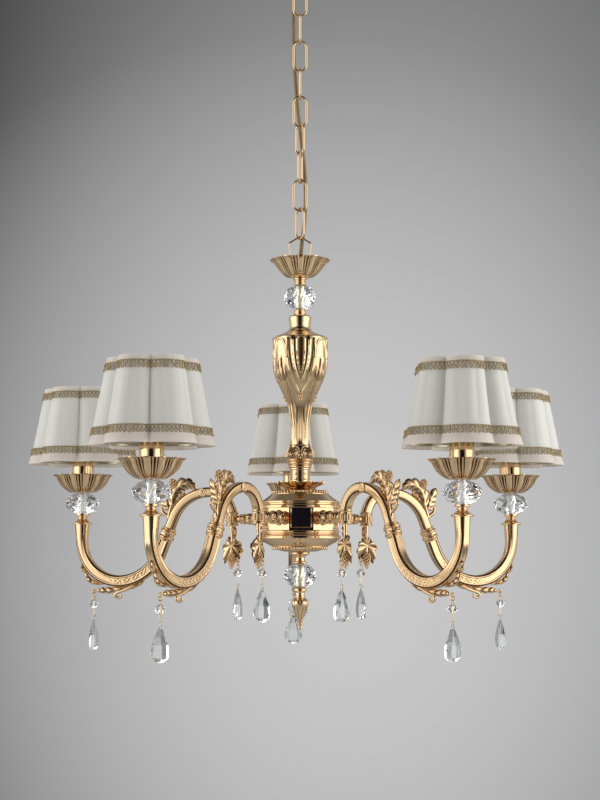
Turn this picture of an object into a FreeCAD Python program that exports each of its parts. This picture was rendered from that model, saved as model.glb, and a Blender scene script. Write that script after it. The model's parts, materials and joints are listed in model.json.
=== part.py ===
import FreeCAD, Part
import math
import os
import re
import Sketcher
from FreeCAD import Placement, Rotation, Vector

# A five arm chandelier in cast brass, crystal and pleated fabric, hung on a chain from a ceiling rose.
# Millimetres, +Z up.  The origin is on the ceiling, at the middle of the rose, and the column hangs
# down the Z axis.  The first arm points 36 degrees to the right of -Y, which is the front.

SIZES = {
    # ceiling fitting
    "rose_radius": 58,
    "rose_height": 50,
    "rose_wall": 1.5,
    "rose_floor_radius": 24,
    "bar_length": 100,
    "bar_width": 20,
    "bar_thickness": 2.5,
    "screw_spacing": 66,
    "screw_bore_radius": 2.5,
    "nipple_radius": 5,
    "nipple_bore_radius": 3.5,
    "nipple_reach": 4.5,
    "cord_outlet_radius": 3.2,
    # swivelling loop, chain and bail
    "collar_radius": 9,
    "collar_height": 8,
    "loop_inner_radius": 6,
    "loop_wire": 3,
    "link_count": 9,
    "link_inner_length": 36.2,
    "link_inner_width": 13.4,
    "link_wire": 2.8,
    "link_gap": 0.2,
    "pivot_gap": 0.3,
    "bail_wire": 2,
    "bail_height": 43.8,
    "bail_half_width": 14.3,
    "bail_shoulder_drop": 8.5,
    "bail_corner_radius": 2.6,
    "bail_foot_reach": 3,
    "hanger_radius": 7.5,
    "hanger_height": 13.8,
    "hanger_pin_height": 7.4,
    "hanger_socket_depth": 4,
    "cord_diameter": 5,
    "cord_side": -7.5,
    "cord_back": 13,
    "cord_lead": 24,
    "cord_inlet": 5,
    # column, from the top down
    "rod_radius": 5,
    "rod_gap": 0.2,
    "collar_ring_radius": 8.4,
    "collar_ring_height": 8.4,
    "upper_ball_radius": 20.5,
    "upper_ball_height": 31.8,
    "neck_cap_radius": 14.35,
    "neck_cap_height": 21.8,
    "vase_neck_radius": 13,
    "vase_shoulder_radius": 34.4,
    "vase_stem_radius": 10.6,
    "vase_height": 147,
    "knop_radius": 17.9,
    "knop_height": 29,
    "tube_radius": 12.5,
    "tube_height": 25,
    "tube_wall": 2.5,
    "leaf_collar_radius": 34,
    "leaf_collar_height": 8.4,
    "leaf_collar_foot": 14.5,
    "leaf_collar_wall": 1.4,
    "leaf_collar_notch": 0.86,
    "leaf_collar_count": 10,
    "cover_radius": 50.6,
    "cover_wall": 2,
    "top_cover_height": 22,
    "drum_face_distance": 45.6,
    "drum_wall": 4,
    "drum_height": 30,
    "panel_width": 23,
    "panel_height": 23,
    "panel_recess": 1.2,
    "arm_stud_radius": 4,
    "bottom_cover_height": 26,
    "block_length": 32,
    "block_width": 14,
    "block_height": 13,
    "block_distance": 8,
    "block_post_radius": 3,
    "block_post_height": 6,
    "terminal_radius": 2.2,
    "terminal_spacing": 9,
    "terminal_depth": 8,
    "lower_collar_radius": 12,
    "lower_collar_height": 14,
    "lower_ball_radius": 20.5,
    "lower_ball_height": 30,
    "finial_radius": 11,
    "finial_height": 51,
    "finial_socket_depth": 10,
    # arms
    "arm_count": 5,
    "first_arm_angle": 36,
    "lamp_distance": 290,
    "barrel_distance": 88,
    "barrel_radius": 7.25,
    "barrel_rim_radius": 8.2,
    "barrel_rim_height": 2.4,
    "barrel_height": 17,
    "spigot_radius": 9,
    "spigot_neck_radius": 4.6,
    "arch_top": 34,
    "arch_inner_radius": 31,
    "arch_outer_radius": 50,
    "arch_width": 13,
    "roundel_radius": 5.6,
    "roundel_proud": 0.8,
    "bend_bottom": 77,
    "bend_inner_radius": 60,
    "bend_outer_radius": 52,
    "bend_width": 14.5,
    "groove_width": 7,
    "groove_depth": 0.8,
    "trumpet_width": 19,
    "knuckle_radius": 10,
    "knuckle_length": 17,
    "spray_thickness": 9,
    "spur_thickness": 6,
    "eye_radius": 1.1,
    "eye_web": 2,
    "eye_clearance": 0.4,
    "pendant_stem_radius": 3,
    "pendant_stem_length": 16,
    "vine_leaf_width": 27,
    "vine_leaf_height": 30,
    "vine_leaf_thickness": 4,
    "grape_radius": 6.2,
    "grape_height": 16,
    "casting_gap": 0.2,
    # lamps
    "flange_radius": 12.8,
    "flange_height": 13.5,
    "flange_level": -5,
    "lamp_ball_radius": 22.5,
    "lamp_ball_height": 26.5,
    "cup_radius": 38.3,
    "cup_floor_gap": 0.3,
    "cup_height": 23.6,
    "cup_wall": 1.6,
    "petal_count": 12,
    "petal_notch": 0.93,
    "sleeve_radius": 14,
    "sleeve_wall": 1,
    "sleeve_height": 51.4,
    "holder_radius": 12,
    "holder_height": 49.4,
    "holder_socket_depth": 20,
    "stem_radius": 4,
    "stem_reach": 5,
    "bulb_cap_radius": 6.8,
    "bulb_radius": 17.5,
    "bulb_cap_height": 22,
    "bulb_waist": 49,
    "bulb_height": 95,
    "bulb_gap": 0.3,
    # shades
    "shade_level": 75.5,
    "shade_height": 92,
    "shade_bottom_radius": 68,
    "shade_top_radius": 50,
    "shade_wall": 1.5,
    "lobe_count": 6,
    "lobe_cusp": 0.82,
    "frame_wire": 1.8,
    "frame_gap": 0.3,
    "clip_level": 117,
    "clip_height": 3,
    "clip_gap": 0.5,
    # crystal strands
    "strand_wire": 0.9,
    "ring_radius": 3.2,
    "bead_radius": 6,
    "bead_height": 10,
    "bead_level": 15.5,
    "pin_loop_radius": 2.4,
    "drop_width": 23.5,
    "drop_height": 43,
    "drop_thickness": 9,
    "drop_level": 30.5,
}

# How far each link of the chain is turned about the chain, from the top.
LINK_TURNS = [0, 90, 0, 90, 0, -55, 70, 0, -55]

# Where the cord goes beside the chain, between its outlet in the rose and the hanger.
CORD_ROUTE = [
    (-7.5, 13, -72),
    (-8.5, 10.5, -125),
    (-6.5, 10.8, -180),
    (-2, 13, -232),
    (4.5, 12.5, -285),
    (8, 9.5, -330),
    (6.5, 8.5, -370),
    (2.5, 5.5, -402),
]

# The cup's sections: share of its widening, share of its height, share of the petals' notch.
CUP_PROFILE = [(0, 0, 0), (0.32, 0.12, 0.4), (0.62, 0.42, 0.7), (0.8, 0.76, 0.9), (1, 1, 1)]

# The leaf collar's sections, in the same shares.
LEAF_COLLAR_PROFILE = [(0, 0, 0), (0.4, 0.2, 0.3), (0.78, 0.5, 0.7), (1, 1, 1)]

# The vase's sections: share of its height, share of its widening from stem to shoulder, swell of the lobes.
VASE_PROFILE = [
    (0, 0.1, 0),
    (0.04, 0.05, 0.02),
    (0.11, 0, 0.05),
    (0.19, 0.03, 0.09),
    (0.27, 0.09, 0.11),
    (0.345, 0.19, 0.12),
    (0.42, 0.37, 0.12),
    (0.49, 0.57, 0.12),
    (0.565, 0.8, 0.11),
    (0.65, 0.93, 0.1),
    (0.75, 0.97, 0.09),
    (0.83, 0.98, 0.08),
    (0.915, 1, 0.08),
]

# Outlines of the column's turned pieces, from the foot up, as shares of their radius and height.
COLLAR_PROFILE = [(1, 0), (1, 0.3), (0.76, 0.36), (0.76, 0.62), (1, 0.7), (1, 1)]
NECK_CAP_PROFILE = [
    (0.9, 0), (0.92, 0.12), (1, 0.6), (0.88, 0.68), (0.46, 0.72), (0.46, 0.8), (0.56, 0.84),
    (0.56, 0.94), (0.46, 1),
]
KNOP_PROFILE = [
    (0.7, 0), (0.79, 0.14), (0.79, 0.22), (0.84, 0.24), (0.84, 0.36), (0.88, 0.38),
    (0.88, 0.52, 0.95, 0.58), (0.92, 0.62, 1.02, 0.76), (0.86, 0.92), (0.72, 1),
]
TOP_COVER_PROFILE = [
    (1, 0), (1, 0.2), (0.97, 0.26), (1, 0.32), (1, 0.5), (0.93, 0.56), (0.76, 0.62), (0.62, 0.72),
    (0.56, 0.86), (0.3, 1),
]
BOTTOM_COVER_PROFILE = [
    (1, 0), (1, 0.16), (0.97, 0.2), (1, 0.25), (1, 0.4), (0.92, 0.48), (0.74, 0.6), (0.66, 0.76),
    (0.5, 0.92), (0.3, 1),
]
LOWER_COLLAR_PROFILE = [(0.73, 0), (0.73, 0.13), (0.5, 0.22), (0.48, 0.7), (1, 0.76), (1, 1)]
FINIAL_PROFILE = [
    (0.14, 0), (0.4, 0.05, 0.42, 0.1), (0.22, 0.16), (0.3, 0.24), (0.52, 0.36), (0.72, 0.48), (1, 0.6),
    (1, 0.65), (0.6, 0.72), (0.52, 0.86), (0.57, 0.9), (0.57, 1),
]

# The turned pieces of an arm and its lamp.
SPIGOT_PROFILE = [
    (0, 1), (0.07, 1), (0.12, 0.7), (0.3, 0.7), (0.37, 1.78), (0.43, 1.78), (0.53, 1.1), (0.6, 1),
    (0.66, 1), (0.7, 0.8), (0.76, 0.95), (0.82, 0.78), (0.88, 0.9), (0.94, 0.76), (1, 0.8),
]
KNUCKLE_PROFILE = [
    (0.84, -0.5), (1, -0.44), (1, -0.26), (0.86, -0.18), (0.82, 0), (0.86, 0.18), (1, 0.26), (1, 0.44),
    (0.84, 0.5),
]
FLANGE_PROFILE = [
    (1, 0), (1, 0.18), (0.74, 0.24), (0.62, 0.4), (0.62, 0.58), (0.45, 0.64), (0.43, 0.94), (0.5, 1),
]

# The leaf and grape spray on the arch: degrees over the arch's crown, and height above the tube.
SPRAY_OUTLINE = [
    (9, -3), (11, 4), (14, 13), (19, 17), (25, 15), (29, 17), (33, 23), (40, 24), (47, 19), (51, 9),
    (56, 10), (60, 18), (65, 23), (70, 20), (71, 13), (68, 11), (72, 7), (82, 6), (84, -1), (60, -3),
    (35, -3),
]

# The leaf spur and hook under the bend: degrees outwards from its lowest point, and depth below the tube.
SPUR_OUTLINE = [
    (62, -4), (60, 2), (54, 2), (50, 4.5), (45, 5), (41, 8.5), (36, 10), (31, 17), (27, 18.5), (24, 14),
    (20, 11), (14, 9), (8, 7), (5, 12), (1, 14), (-3, 11), (-1, 8), (-6, 6), (-16, 4), (-31, -1),
    (-31, -4), (-15, -4), (15, -4), (40, -4),
]
SPUR_EYE = (28, 15)

# How far a leaf's edge bulges between two points, as a share of their distance.
LEAF_BULGE = 0.12

# The roundel's place over the arch's crown, in degrees.
ROUNDEL_ANGLE = 8

# The vine leaf of a pendant: shares of half its width and of its height, from its stalk.
VINE_LEAF = [
    (-0.2, 0.02), (-0.5, -0.04), (-0.6, -0.26), (-1, -0.34), (-0.8, -0.58), (-0.74, -0.9), (-0.52, -1),
    (-0.32, -0.76), (0, -0.9), (0.36, -0.74), (0.66, -0.84), (0.74, -0.56), (1, -0.33), (0.62, -0.26),
    (0.5, -0.04), (0.2, 0.02),
]
VINE_EYE = (-0.54, -0.9)

# The grape bunch: its place on the leaf, and its rows as shares of its radius and height.
GRAPE_PLACE = (0.28, -0.8)
GRAPE_ROWS = [(0.5, 0), (1, 0.16), (1, 0.4), (0.8, 0.62), (0.5, 0.85), (0.15, 1)]

# How far each shade is turned about its lamp, from its arm's direction.
SHADE_TURNS = [-6, 14, 30, -14, -24]

# A crystal drop's rows: share of its width and share of its height from the top.
DROP_ROWS = [(0.1, 0), (0.42, 0.2), (0.78, 0.42), (1, 0.64), (0.84, 0.84), (0.3, 1)]

# Rows and sides of the facets of a crystal ball.
BALL_ROWS = 5
BALL_SIDES = 12

# Heights that follow from the sizes, from the ceiling down.
LEVELS = {
    "rose_foot": "-rose_height",
    "loop_foot": "rose_foot - collar_height",
    "loop_middle": "loop_foot - loop_inner_radius - loop_wire / 2",
    "chain_top": "loop_middle - loop_inner_radius + pivot_gap",
    "link_step": "link_inner_length - link_gap",
    "chain_foot": "chain_top - (link_count - 1) * link_step - link_inner_length",
    "bail_top": "chain_foot + pivot_gap + bail_wire / 2",
    "pin_level": "bail_top - bail_height",
    "hanger_foot": "pin_level - hanger_pin_height",
    "hanger_top": "hanger_foot + hanger_height",
    "top_cup_foot": "hanger_foot - cup_wall",
    "ring_foot": "top_cup_foot - collar_ring_height",
    "upper_ball_foot": "ring_foot - upper_ball_height",
    "neck_cap_foot": "upper_ball_foot - neck_cap_height",
    "vase_foot": "neck_cap_foot - vase_height",
    "knop_foot": "vase_foot - knop_height",
    "tube_foot": "knop_foot - tube_height",
    "top_cover_foot": "tube_foot - top_cover_height",
    "drum_foot": "top_cover_foot - drum_height",
    "bottom_cover_foot": "drum_foot - bottom_cover_height",
    "lower_collar_foot": "bottom_cover_foot - lower_collar_height",
    "lower_ball_foot": "lower_collar_foot - lower_ball_height",
    "finial_foot": "lower_ball_foot - finial_height",
    "rod_foot": "lower_ball_foot - finial_socket_depth",
    "arm_level": "drum_foot + drum_height / 2",
    "flange_foot": "arm_level + flange_level",
    "lamp_ball_foot": "flange_foot + flange_height",
    "cup_foot": "lamp_ball_foot + lamp_ball_height",
    "cup_floor": "cup_foot + cup_wall",
    "holder_top": "cup_floor + holder_height",
    "shade_foot": "arm_level + shade_level",
}

doc = FreeCAD.newDocument("Chandelier")


def full(formula):
    """A formula with the sheet's name put before each cell's name."""

    def cell(match):
        word = match.group()
        return f"Sizes.{word}" if word in SIZES else f"Levels.{word}" if word in LEVELS else word

    return re.sub(r"[a-z_]+", cell, formula)


def fill_sheet(name, cells):
    """A sheet with one named cell a row, its value or formula set as text."""
    made = doc.addObject("Spreadsheet::Sheet", name)
    for row, alias in enumerate(cells, start=1):
        made.set(f"A{row}", alias)
        made.setAlias(f"B{row}", alias)
    for row, value in enumerate(cells.values(), start=1):
        made.set(f"B{row}", str(value))
    doc.recompute()
    return made


sizes = fill_sheet("Sizes", SIZES)
levels = fill_sheet("Levels", {alias: "=" + full(LEVELS[alias]).replace("Levels.", "") for alias in LEVELS})
nodes = []


def number(formula):
    """The value of a formula of the sheets' cells."""
    return float(sizes.evalExpression(full(formula)))


def numbers(*formulas):
    return [number(formula) for formula in formulas]


# ---------------------------------------------------------------- sketched pieces


def origin_part(body, role):
    return next(part for part in body.Origin.OriginFeatures if part.Role == role)


def tie(sketch, place, kind, formula, edge, end):
    """Ties one coordinate of an edge's end to a formula, or to the sketch's own axis where it is 0."""
    if formula == "0":
        axis = -2 if kind == "DistanceX" else -1
        sketch.addConstraint(Sketcher.Constraint("PointOnObject", edge, end, axis))
        return
    index = sketch.addConstraint(Sketcher.Constraint(kind, -1, 1, edge, end, number(formula)))
    sketch.renameConstraint(index, place)
    sketch.setExpression(f"Constraints.{place}", full(formula))


def draw(body, name, role, corners, shift="0"):
    """A closed sketch on one of the body's planes.

    Each corner is (across, up), or (across, up, via across, via up) where the edge that leaves it is
    an arc through the via point.  Shift moves the whole outline across.
    """

    def across(formula):
        if shift == "0":
            return formula
        return shift if formula == "0" else f"{shift} + {formula}"

    sketch = body.newObject("Sketcher::SketchObject", name)
    sketch.AttachmentSupport = [(origin_part(body, role), "")]
    sketch.MapMode = "FlatFace"
    points = [Vector(number(across(corner[0])), number(corner[1]), 0) for corner in corners]
    starts = []
    for index, corner in enumerate(corners):
        here = points[index]
        following = points[(index + 1) % len(points)]
        if len(corner) == 4:
            middle = Vector(number(across(corner[2])), number(corner[3]), 0)
            sketch.addGeometry(Part.Arc(here, middle, following), False)
            turns_left = (following - here).cross(middle - here).z < 0
            starts.append(1 if turns_left else 2)
        else:
            sketch.addGeometry(Part.LineSegment(here, following), False)
            starts.append(1)
    for index, start in enumerate(starts):
        following = (index + 1) % len(starts)
        joint = Sketcher.Constraint("Coincident", index, 3 - start, following, starts[following])
        sketch.addConstraint(joint)
    for index, corner in enumerate(corners):
        tie(sketch, f"across_{index}", "DistanceX", across(corner[0]), index, starts[index])
        tie(sketch, f"up_{index}", "DistanceY", corner[1], index, starts[index])
        if len(corner) == 4:
            via = Vector(number(across(corner[2])), number(corner[3]), 0)
            mark = sketch.addGeometry(Part.Point(via), True)
            sketch.addConstraint(Sketcher.Constraint("PointOnObject", mark, 1, index))
            tie(sketch, f"via_across_{index}", "DistanceX", across(corner[2]), mark, 1)
            tie(sketch, f"via_up_{index}", "DistanceY", corner[3], mark, 1)
    return sketch


def new_body(label, height):
    """A body that will be written as a node, with its origin at a height on the column's axis."""
    body = doc.addObject("PartDesign::Body", label)
    body.Label = label
    body.AllowCompound = True
    body.setExpression("Placement.Base.z", full(height))
    nodes.append(body)
    return body


def turned(label, corners, height, shift="0", around="V_Axis"):
    """A piece turned on a lathe: its outline's corners spun about its upright or its level axis."""
    body = new_body(label, height)
    sketch = draw(body, f"{label}_outline", "XZ_Plane", corners, shift)
    spin = body.newObject("PartDesign::Revolution", f"{label}_spin")
    spin.Profile = sketch
    spin.ReferenceAxis = (sketch, [around])
    if shift != "0":
        middle = number(shift)
        line = Part.LineSegment(Vector(middle, 0, 0), Vector(middle, 1, 0))
        axis = sketch.addGeometry(line, True)
        sketch.addConstraint(Sketcher.Constraint("Vertical", axis))
        sketch.addConstraint(Sketcher.Constraint("PointOnObject", axis, 1, -1))
        sketch.addConstraint(Sketcher.Constraint("Distance", axis, 1))
        tie(sketch, "axis_across", "DistanceX", shift, axis, 1)
        spin.ReferenceAxis = (sketch, ["Axis0"])
    spin.Angle = 360
    body.Tip = spin
    doc.recompute()
    return body


def around_column(body, feature, count):
    """Repeats a feature round the column's axis."""
    ring = body.newObject("PartDesign::PolarPattern", f"{feature.Name}_ring")
    ring.Originals = [feature]
    ring.Axis = (origin_part(body, "Z_Axis"), [""])
    ring.Angle = 360
    ring.setExpression("Occurrences", full(count))
    body.Tip = ring
    doc.recompute()
    return ring


def at_each_arm(body):
    """Repeats a body's last feature at every arm, starting with the first arm's direction."""
    around_column(body, body.Tip, "arm_count")
    body.setExpression("Placement.Rotation.Yaw", full("first_arm_angle - 90"))
    return body


def shares(radius, height, outline):
    """The corners of an outline whose points are shares of a radius and of a height."""
    whole = (radius, height, radius, height)
    return [tuple(f"{share} * {size}" for share, size in zip(corner, whole)) for corner in outline]


def bored(bore, height, corners):
    """An outline with a straight bore up its middle."""
    return [(bore, "0"), *corners, (bore, height)]


def push(body, name, kind, sketch, depth, both_ways=False):
    """A pad or a pocket of a sketch, and a test that it changed the body."""
    before = body.Tip.Shape.Volume if body.Tip else 0
    feature = body.newObject(f"PartDesign::{kind}", name)
    feature.Profile = sketch
    feature.setExpression("Length", full(depth))
    if both_ways:
        feature.SideType = "Symmetric"
    body.Tip = feature
    doc.recompute()
    if abs(feature.Shape.Volume - before) < 1:
        feature.Reversed = True
        doc.recompute()
    assert abs(feature.Shape.Volume - before) > 1, f"{name} changes nothing"
    return feature


def circles(body, name, role, holes):
    """A sketch of circles, each (across, up, radius)."""
    sketch = body.newObject("Sketcher::SketchObject", name)
    sketch.AttachmentSupport = [(origin_part(body, role), "")]
    sketch.MapMode = "FlatFace"
    for index, (across, up, radius) in enumerate(holes):
        middle = Vector(number(across), number(up), 0)
        sketch.addGeometry(Part.Circle(middle, Vector(0, 0, 1), number(radius)), False)
        tie(sketch, f"across_{index}", "DistanceX", across, index, 3)
        tie(sketch, f"up_{index}", "DistanceY", up, index, 3)
        place = sketch.addConstraint(Sketcher.Constraint("Radius", index, number(radius)))
        sketch.renameConstraint(place, f"radius_{index}")
        sketch.setExpression(f"Constraints.radius_{index}", full(radius))
    return sketch


# ---------------------------------------------------------------- ceiling fitting


def ceiling_rose():
    """A thin spun bell with a bore for the nipple and an outlet for the cord beside it."""
    corners = [
        ("nipple_radius + rod_gap", "0"),
        ("rose_floor_radius", "0", "0.8 * rose_radius", "0.26 * rose_height"),
        ("0.96 * rose_radius", "0.88 * rose_height"),
        ("rose_radius", "0.88 * rose_height"),
        ("rose_radius", "rose_height"),
        ("rose_radius - rose_wall", "rose_height"),
        ("rose_radius - rose_wall", "0.88 * rose_height + rose_wall"),
        (
            "0.96 * rose_radius - rose_wall",
            "0.88 * rose_height + rose_wall",
            "0.8 * rose_radius - rose_wall",
            "0.26 * rose_height + rose_wall",
        ),
        ("rose_floor_radius", "rose_wall"),
        ("nipple_radius + rod_gap", "rose_wall"),
    ]
    body = turned("ceiling_rose", corners, "rose_foot")
    outlet = circles(body, "cord_outlet", "XY_Plane", [("cord_side", "cord_back", "cord_outlet_radius")])
    push(body, "cord_outlet_cut", "Pocket", outlet, "2 * rose_height", both_ways=True)


def ceiling_bar():
    """The strip that is screwed to the ceiling and holds the nipple."""
    body = new_body("ceiling_bar", "-bar_thickness")
    long, wide = "bar_length / 2", "bar_width / 2"
    corners = [(f"-{long}", f"-{wide}"), (long, f"-{wide}"), (long, wide), (f"-{long}", wide)]
    push(body, "bar_pad", "Pad", draw(body, "bar_outline", "XY_Plane", corners), "bar_thickness")
    half = "screw_spacing / 2"
    holes = [("0", "0", "nipple_radius")]
    holes += [(across, "0", "screw_bore_radius") for across in (half, f"-{half}")]
    sketch = circles(body, "bar_holes", "XY_Plane", holes)
    push(body, "bar_cut", "Pocket", sketch, "4 * bar_thickness", both_ways=True)


def ceiling_nipple():
    """The threaded tube that joins the bar to the loop's collar."""
    long = "rose_height + nipple_reach"
    corners = bored("nipple_bore_radius", long, [("nipple_radius", "0"), ("nipple_radius", long)])
    turned("ceiling_nipple", corners, "rose_foot - nipple_reach")


ceiling_rose()
ceiling_bar()
ceiling_nipple()


# ---------------------------------------------------------------- loop, chain, bail and cord


def made(label, shape, place=Placement()):
    """A piece whose shape is worked out by Part's own functions."""
    feature = doc.addObject("Part::Feature", label)
    feature.Label = label
    feature.Shape = shape
    feature.Placement = place * shape.Placement
    nodes.append(feature)
    return feature


def primitive(kind, name, sizes_of, turn=Rotation(), **places):
    """A Part primitive with its sizes and its place tied to the sheets."""
    solid = doc.addObject(f"Part::{kind}", name)
    for key, formula in sizes_of.items():
        solid.setExpression(key, full(formula))
    for key, formula in places.items():
        solid.setExpression(f"Placement.Base.{key}", full(formula))
    solid.Placement.Rotation = turn
    return solid


def boolean(kind, label, base, tool):
    joined = doc.addObject(f"Part::{kind}", label)
    joined.Label = label
    joined.Base = base
    joined.Tool = tool
    return joined


def collar_loop():
    """The collar that turns on the nipple, with the ring that the chain hangs from."""
    collar_sizes = {"Radius": "collar_radius", "Height": "collar_height"}
    collar = primitive("Cylinder", "collar", collar_sizes, z="loop_foot")
    ring_sizes = {"Radius1": "loop_inner_radius + loop_wire / 2", "Radius2": "loop_wire / 2"}
    ring = primitive("Torus", "ring", ring_sizes, Rotation(Vector(0, 1, 0), 90), z="loop_middle")
    bore_sizes = {"Radius": "nipple_radius + pivot_gap", "Height": "nipple_reach + pivot_gap"}
    bore = primitive("Cylinder", "collar_bore", bore_sizes, z="rose_foot - nipple_reach - pivot_gap")
    nodes.append(boolean("Cut", "collar_loop", boolean("Fuse", "collar_and_ring", collar, ring), bore))


def rounded_path(points, radius_at):
    """Straight runs through the points, joined by tangent arcs; gives the edges and the arcs' radii."""
    edges = []
    radii = []
    start = points[0]
    for before, corner, after in zip(points, points[1:], points[2:]):
        back = (before - corner).normalize()
        onward = (after - corner).normalize()
        half_turn = (math.pi - back.getAngle(onward)) / 2
        radius = radius_at(min((before - corner).Length, (after - corner).Length), half_turn)
        reach = radius * math.tan(half_turn)
        middle = corner + (back + onward).normalize() * (radius / math.cos(half_turn) - radius)
        edges.append(Part.LineSegment(start, corner + back * reach).toShape())
        edges.append(Part.Arc(corner + back * reach, middle, corner + onward * reach).toShape())
        radii.append(radius)
        start = corner + onward * reach
    edges.append(Part.LineSegment(start, points[-1]).toShape())
    return edges, radii


def rod_along(edges, radius):
    """A round rod along straight runs and arcs that are tangent to each other."""
    runs = []
    for edge in edges:
        start, onward = edge.valueAt(edge.FirstParameter), edge.tangentAt(edge.FirstParameter)
        section = Part.Face(Part.Wire(Part.Circle(start, onward, radius).toShape()))
        curve = edge.Curve
        if isinstance(curve, Part.Circle):
            turn = math.degrees(edge.LastParameter - edge.FirstParameter)
            runs.append(section.revolve(curve.Center, curve.Axis, turn))
        else:
            runs.append(section.extrude(onward * edge.Length))
    return runs[0].multiFuse(runs[1:]).removeSplitter()


def chain_link():
    """One oval link in the XZ plane, with its middle at the origin."""
    wire, wide, long = numbers("link_wire / 2", "link_inner_width / 2", "link_inner_length / 2")
    side = wide + wire
    up = long - wide
    corners = [Vector(side, 0, -up), Vector(side, 0, up), Vector(-side, 0, up), Vector(-side, 0, -up)]
    edges = [
        Part.makeLine(corners[0], corners[1]),
        Part.Arc(corners[1], Vector(0, 0, up + side), corners[2]).toShape(),
        Part.makeLine(corners[2], corners[3]),
        Part.Arc(corners[3], Vector(0, 0, -up - side), corners[0]).toShape(),
    ]
    return rod_along(edges, wire)


def chain():
    """The oval links, each hooked in the one above and turned as they hang."""
    top, step, half = numbers("chain_top", "link_step", "link_inner_length / 2")
    links = []
    for index in range(int(number("link_count"))):
        turn = LINK_TURNS[index % len(LINK_TURNS)]
        link = chain_link()
        link.Placement = Placement(Vector(0, 0, top - half - index * step), Rotation(Vector(0, 0, 1), turn))
        links.append(link)
    made("chain", Part.makeCompound(links))


def bail():
    """The bent wire between the last link and the column, hooked into both sides of the hanger."""
    top, pin, wide, drop = numbers("bail_top", "pin_level", "bail_half_width", "bail_shoulder_drop")
    corner, wire = numbers("bail_corner_radius", "bail_wire / 2")
    foot = number("hanger_radius + pivot_gap + bail_wire / 2")
    tip = foot - number("bail_foot_reach + pivot_gap + bail_wire / 2")
    rise = corner / math.cos(math.atan2(drop, wide)) - corner
    half = [Vector(tip, 0, pin), Vector(foot, 0, pin), Vector(wide, 0, top - drop)]
    route = [*half, Vector(0, 0, top + rise), *(Vector(-point.x, 0, point.z) for point in reversed(half))]
    path, _ = rounded_path(route, lambda run, half_turn: min(corner, 0.45 * run / math.tan(half_turn)))
    made("bail", rod_along(path, wire))


def supply_cord():
    """The cord from the rose down behind the chain and into the hanger."""
    outlet = [Vector(*numbers("cord_side", "cord_back", "rose_foot + cord_lead"))]
    inlet = [Vector(0, 0, number(f"hanger_top + {height}")) for height in ("cord_inlet", "-cord_lead")]
    route = [*outlet, *(Vector(*point) for point in CORD_ROUTE), *inlet]
    path, radii = rounded_path(route, lambda run, half_turn: 0.45 * run / math.tan(half_turn))
    long = sum(edge.Length for edge in path)
    print("cord", "length", round(long, 1), "radii", [round(radius) for radius in radii])
    cord = made("supply_cord", rod_along(path, number("cord_diameter / 2")))
    section = math.pi * number("cord_diameter / 2") ** 2
    assert abs(cord.Shape.Volume / (section * long) - 1) < 0.001


collar_loop()
chain()
bail()
supply_cord()


# ---------------------------------------------------------------- column


def hanger():
    """The threaded block inside the top cup, cross drilled for the bail's two ends."""
    corners = [
        ("rod_radius + rod_gap", "0"),
        ("hanger_radius", "0"),
        ("hanger_radius", "hanger_height"),
        ("nipple_bore_radius", "hanger_height"),
        ("nipple_bore_radius", "hanger_socket_depth"),
        ("rod_radius + rod_gap", "hanger_socket_depth"),
    ]
    body = turned("hanger", corners, "hanger_foot")
    hole = circles(body, "pin_hole", "YZ_Plane", [("0", "hanger_pin_height", "bail_wire / 2 + pivot_gap")])
    push(body, "pin_cut", "Pocket", hole, "4 * hanger_radius", both_ways=True)


def petal_wire(radius, notch, height, count):
    """A closed ring of equal arcs that meet in notches."""
    edges = []
    for index in range(count):
        turns = [2 * math.pi * (index + part) / count for part in (0, 0.5, 1)]
        lengths = [radius * notch, radius, radius * notch]
        points = [
            Vector(far * math.cos(turn), far * math.sin(turn), height) for far, turn in zip(lengths, turns)
        ]
        edges.append(Part.Arc(*points).toShape())
    return Part.Wire(edges)


def stacked(wires, ruled=True):
    return Part.makeLoft(wires, True, ruled)


def petal_shell(profile, foot, radius, tall, wall, notch, count):
    """Thin scalloped brass that widens from a closed floor to its rim."""
    outside = []
    inside = []
    for widening, rise, scallop in profile:
        wide = foot + (radius - foot) * widening
        deep = 1 - (1 - notch) * scallop
        outside.append(petal_wire(wide, deep, rise * tall, count))
        inside.append(petal_wire(wide - wall, deep, wall + rise * tall, count))
    return stacked(outside).cut(stacked(inside))


def petal_cup(bore):
    """A scalloped cup with its foot at the origin and a bore through its floor."""
    spans = numbers("cup_radius", "cup_height", "cup_wall", "petal_notch")
    foot = number("sleeve_radius + cup_floor_gap + cup_wall")
    wall = number("cup_wall")
    shell = petal_shell(CUP_PROFILE, foot, *spans, int(number("petal_count")))
    return shell.cut(Part.makeCylinder(bore, 4 * wall, Vector(0, 0, -wall)))


def faceted_ball(radius, tall, bore):
    """A flattened ball of cut glass, with its foot at the origin and a bore up its middle."""
    slopes = [math.pi * ((row + 0.5) / BALL_ROWS - 0.5) for row in range(BALL_ROWS)]
    reach = math.sin(slopes[-1])
    rows = []
    for row, slope in enumerate(slopes):
        height = tall / 2 * (1 + math.sin(slope) / reach)
        rows.append(ring_points(radius * math.cos(slope), height, BALL_SIDES, 0.5 * (row % 2)))
    return solid_between(rows).cut(Part.makeCylinder(bore, 2 * tall, Vector(0, 0, -tall / 2)))


def ring_points(radius, height, count, offset=0.0, flatten=1.0):
    """Evenly turned points of a circle, or of an oval where flatten is under 1."""
    turns = [2 * math.pi * (index + offset) / count for index in range(count)]
    return [Vector(radius * math.cos(turn), flatten * radius * math.sin(turn), height) for turn in turns]


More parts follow.
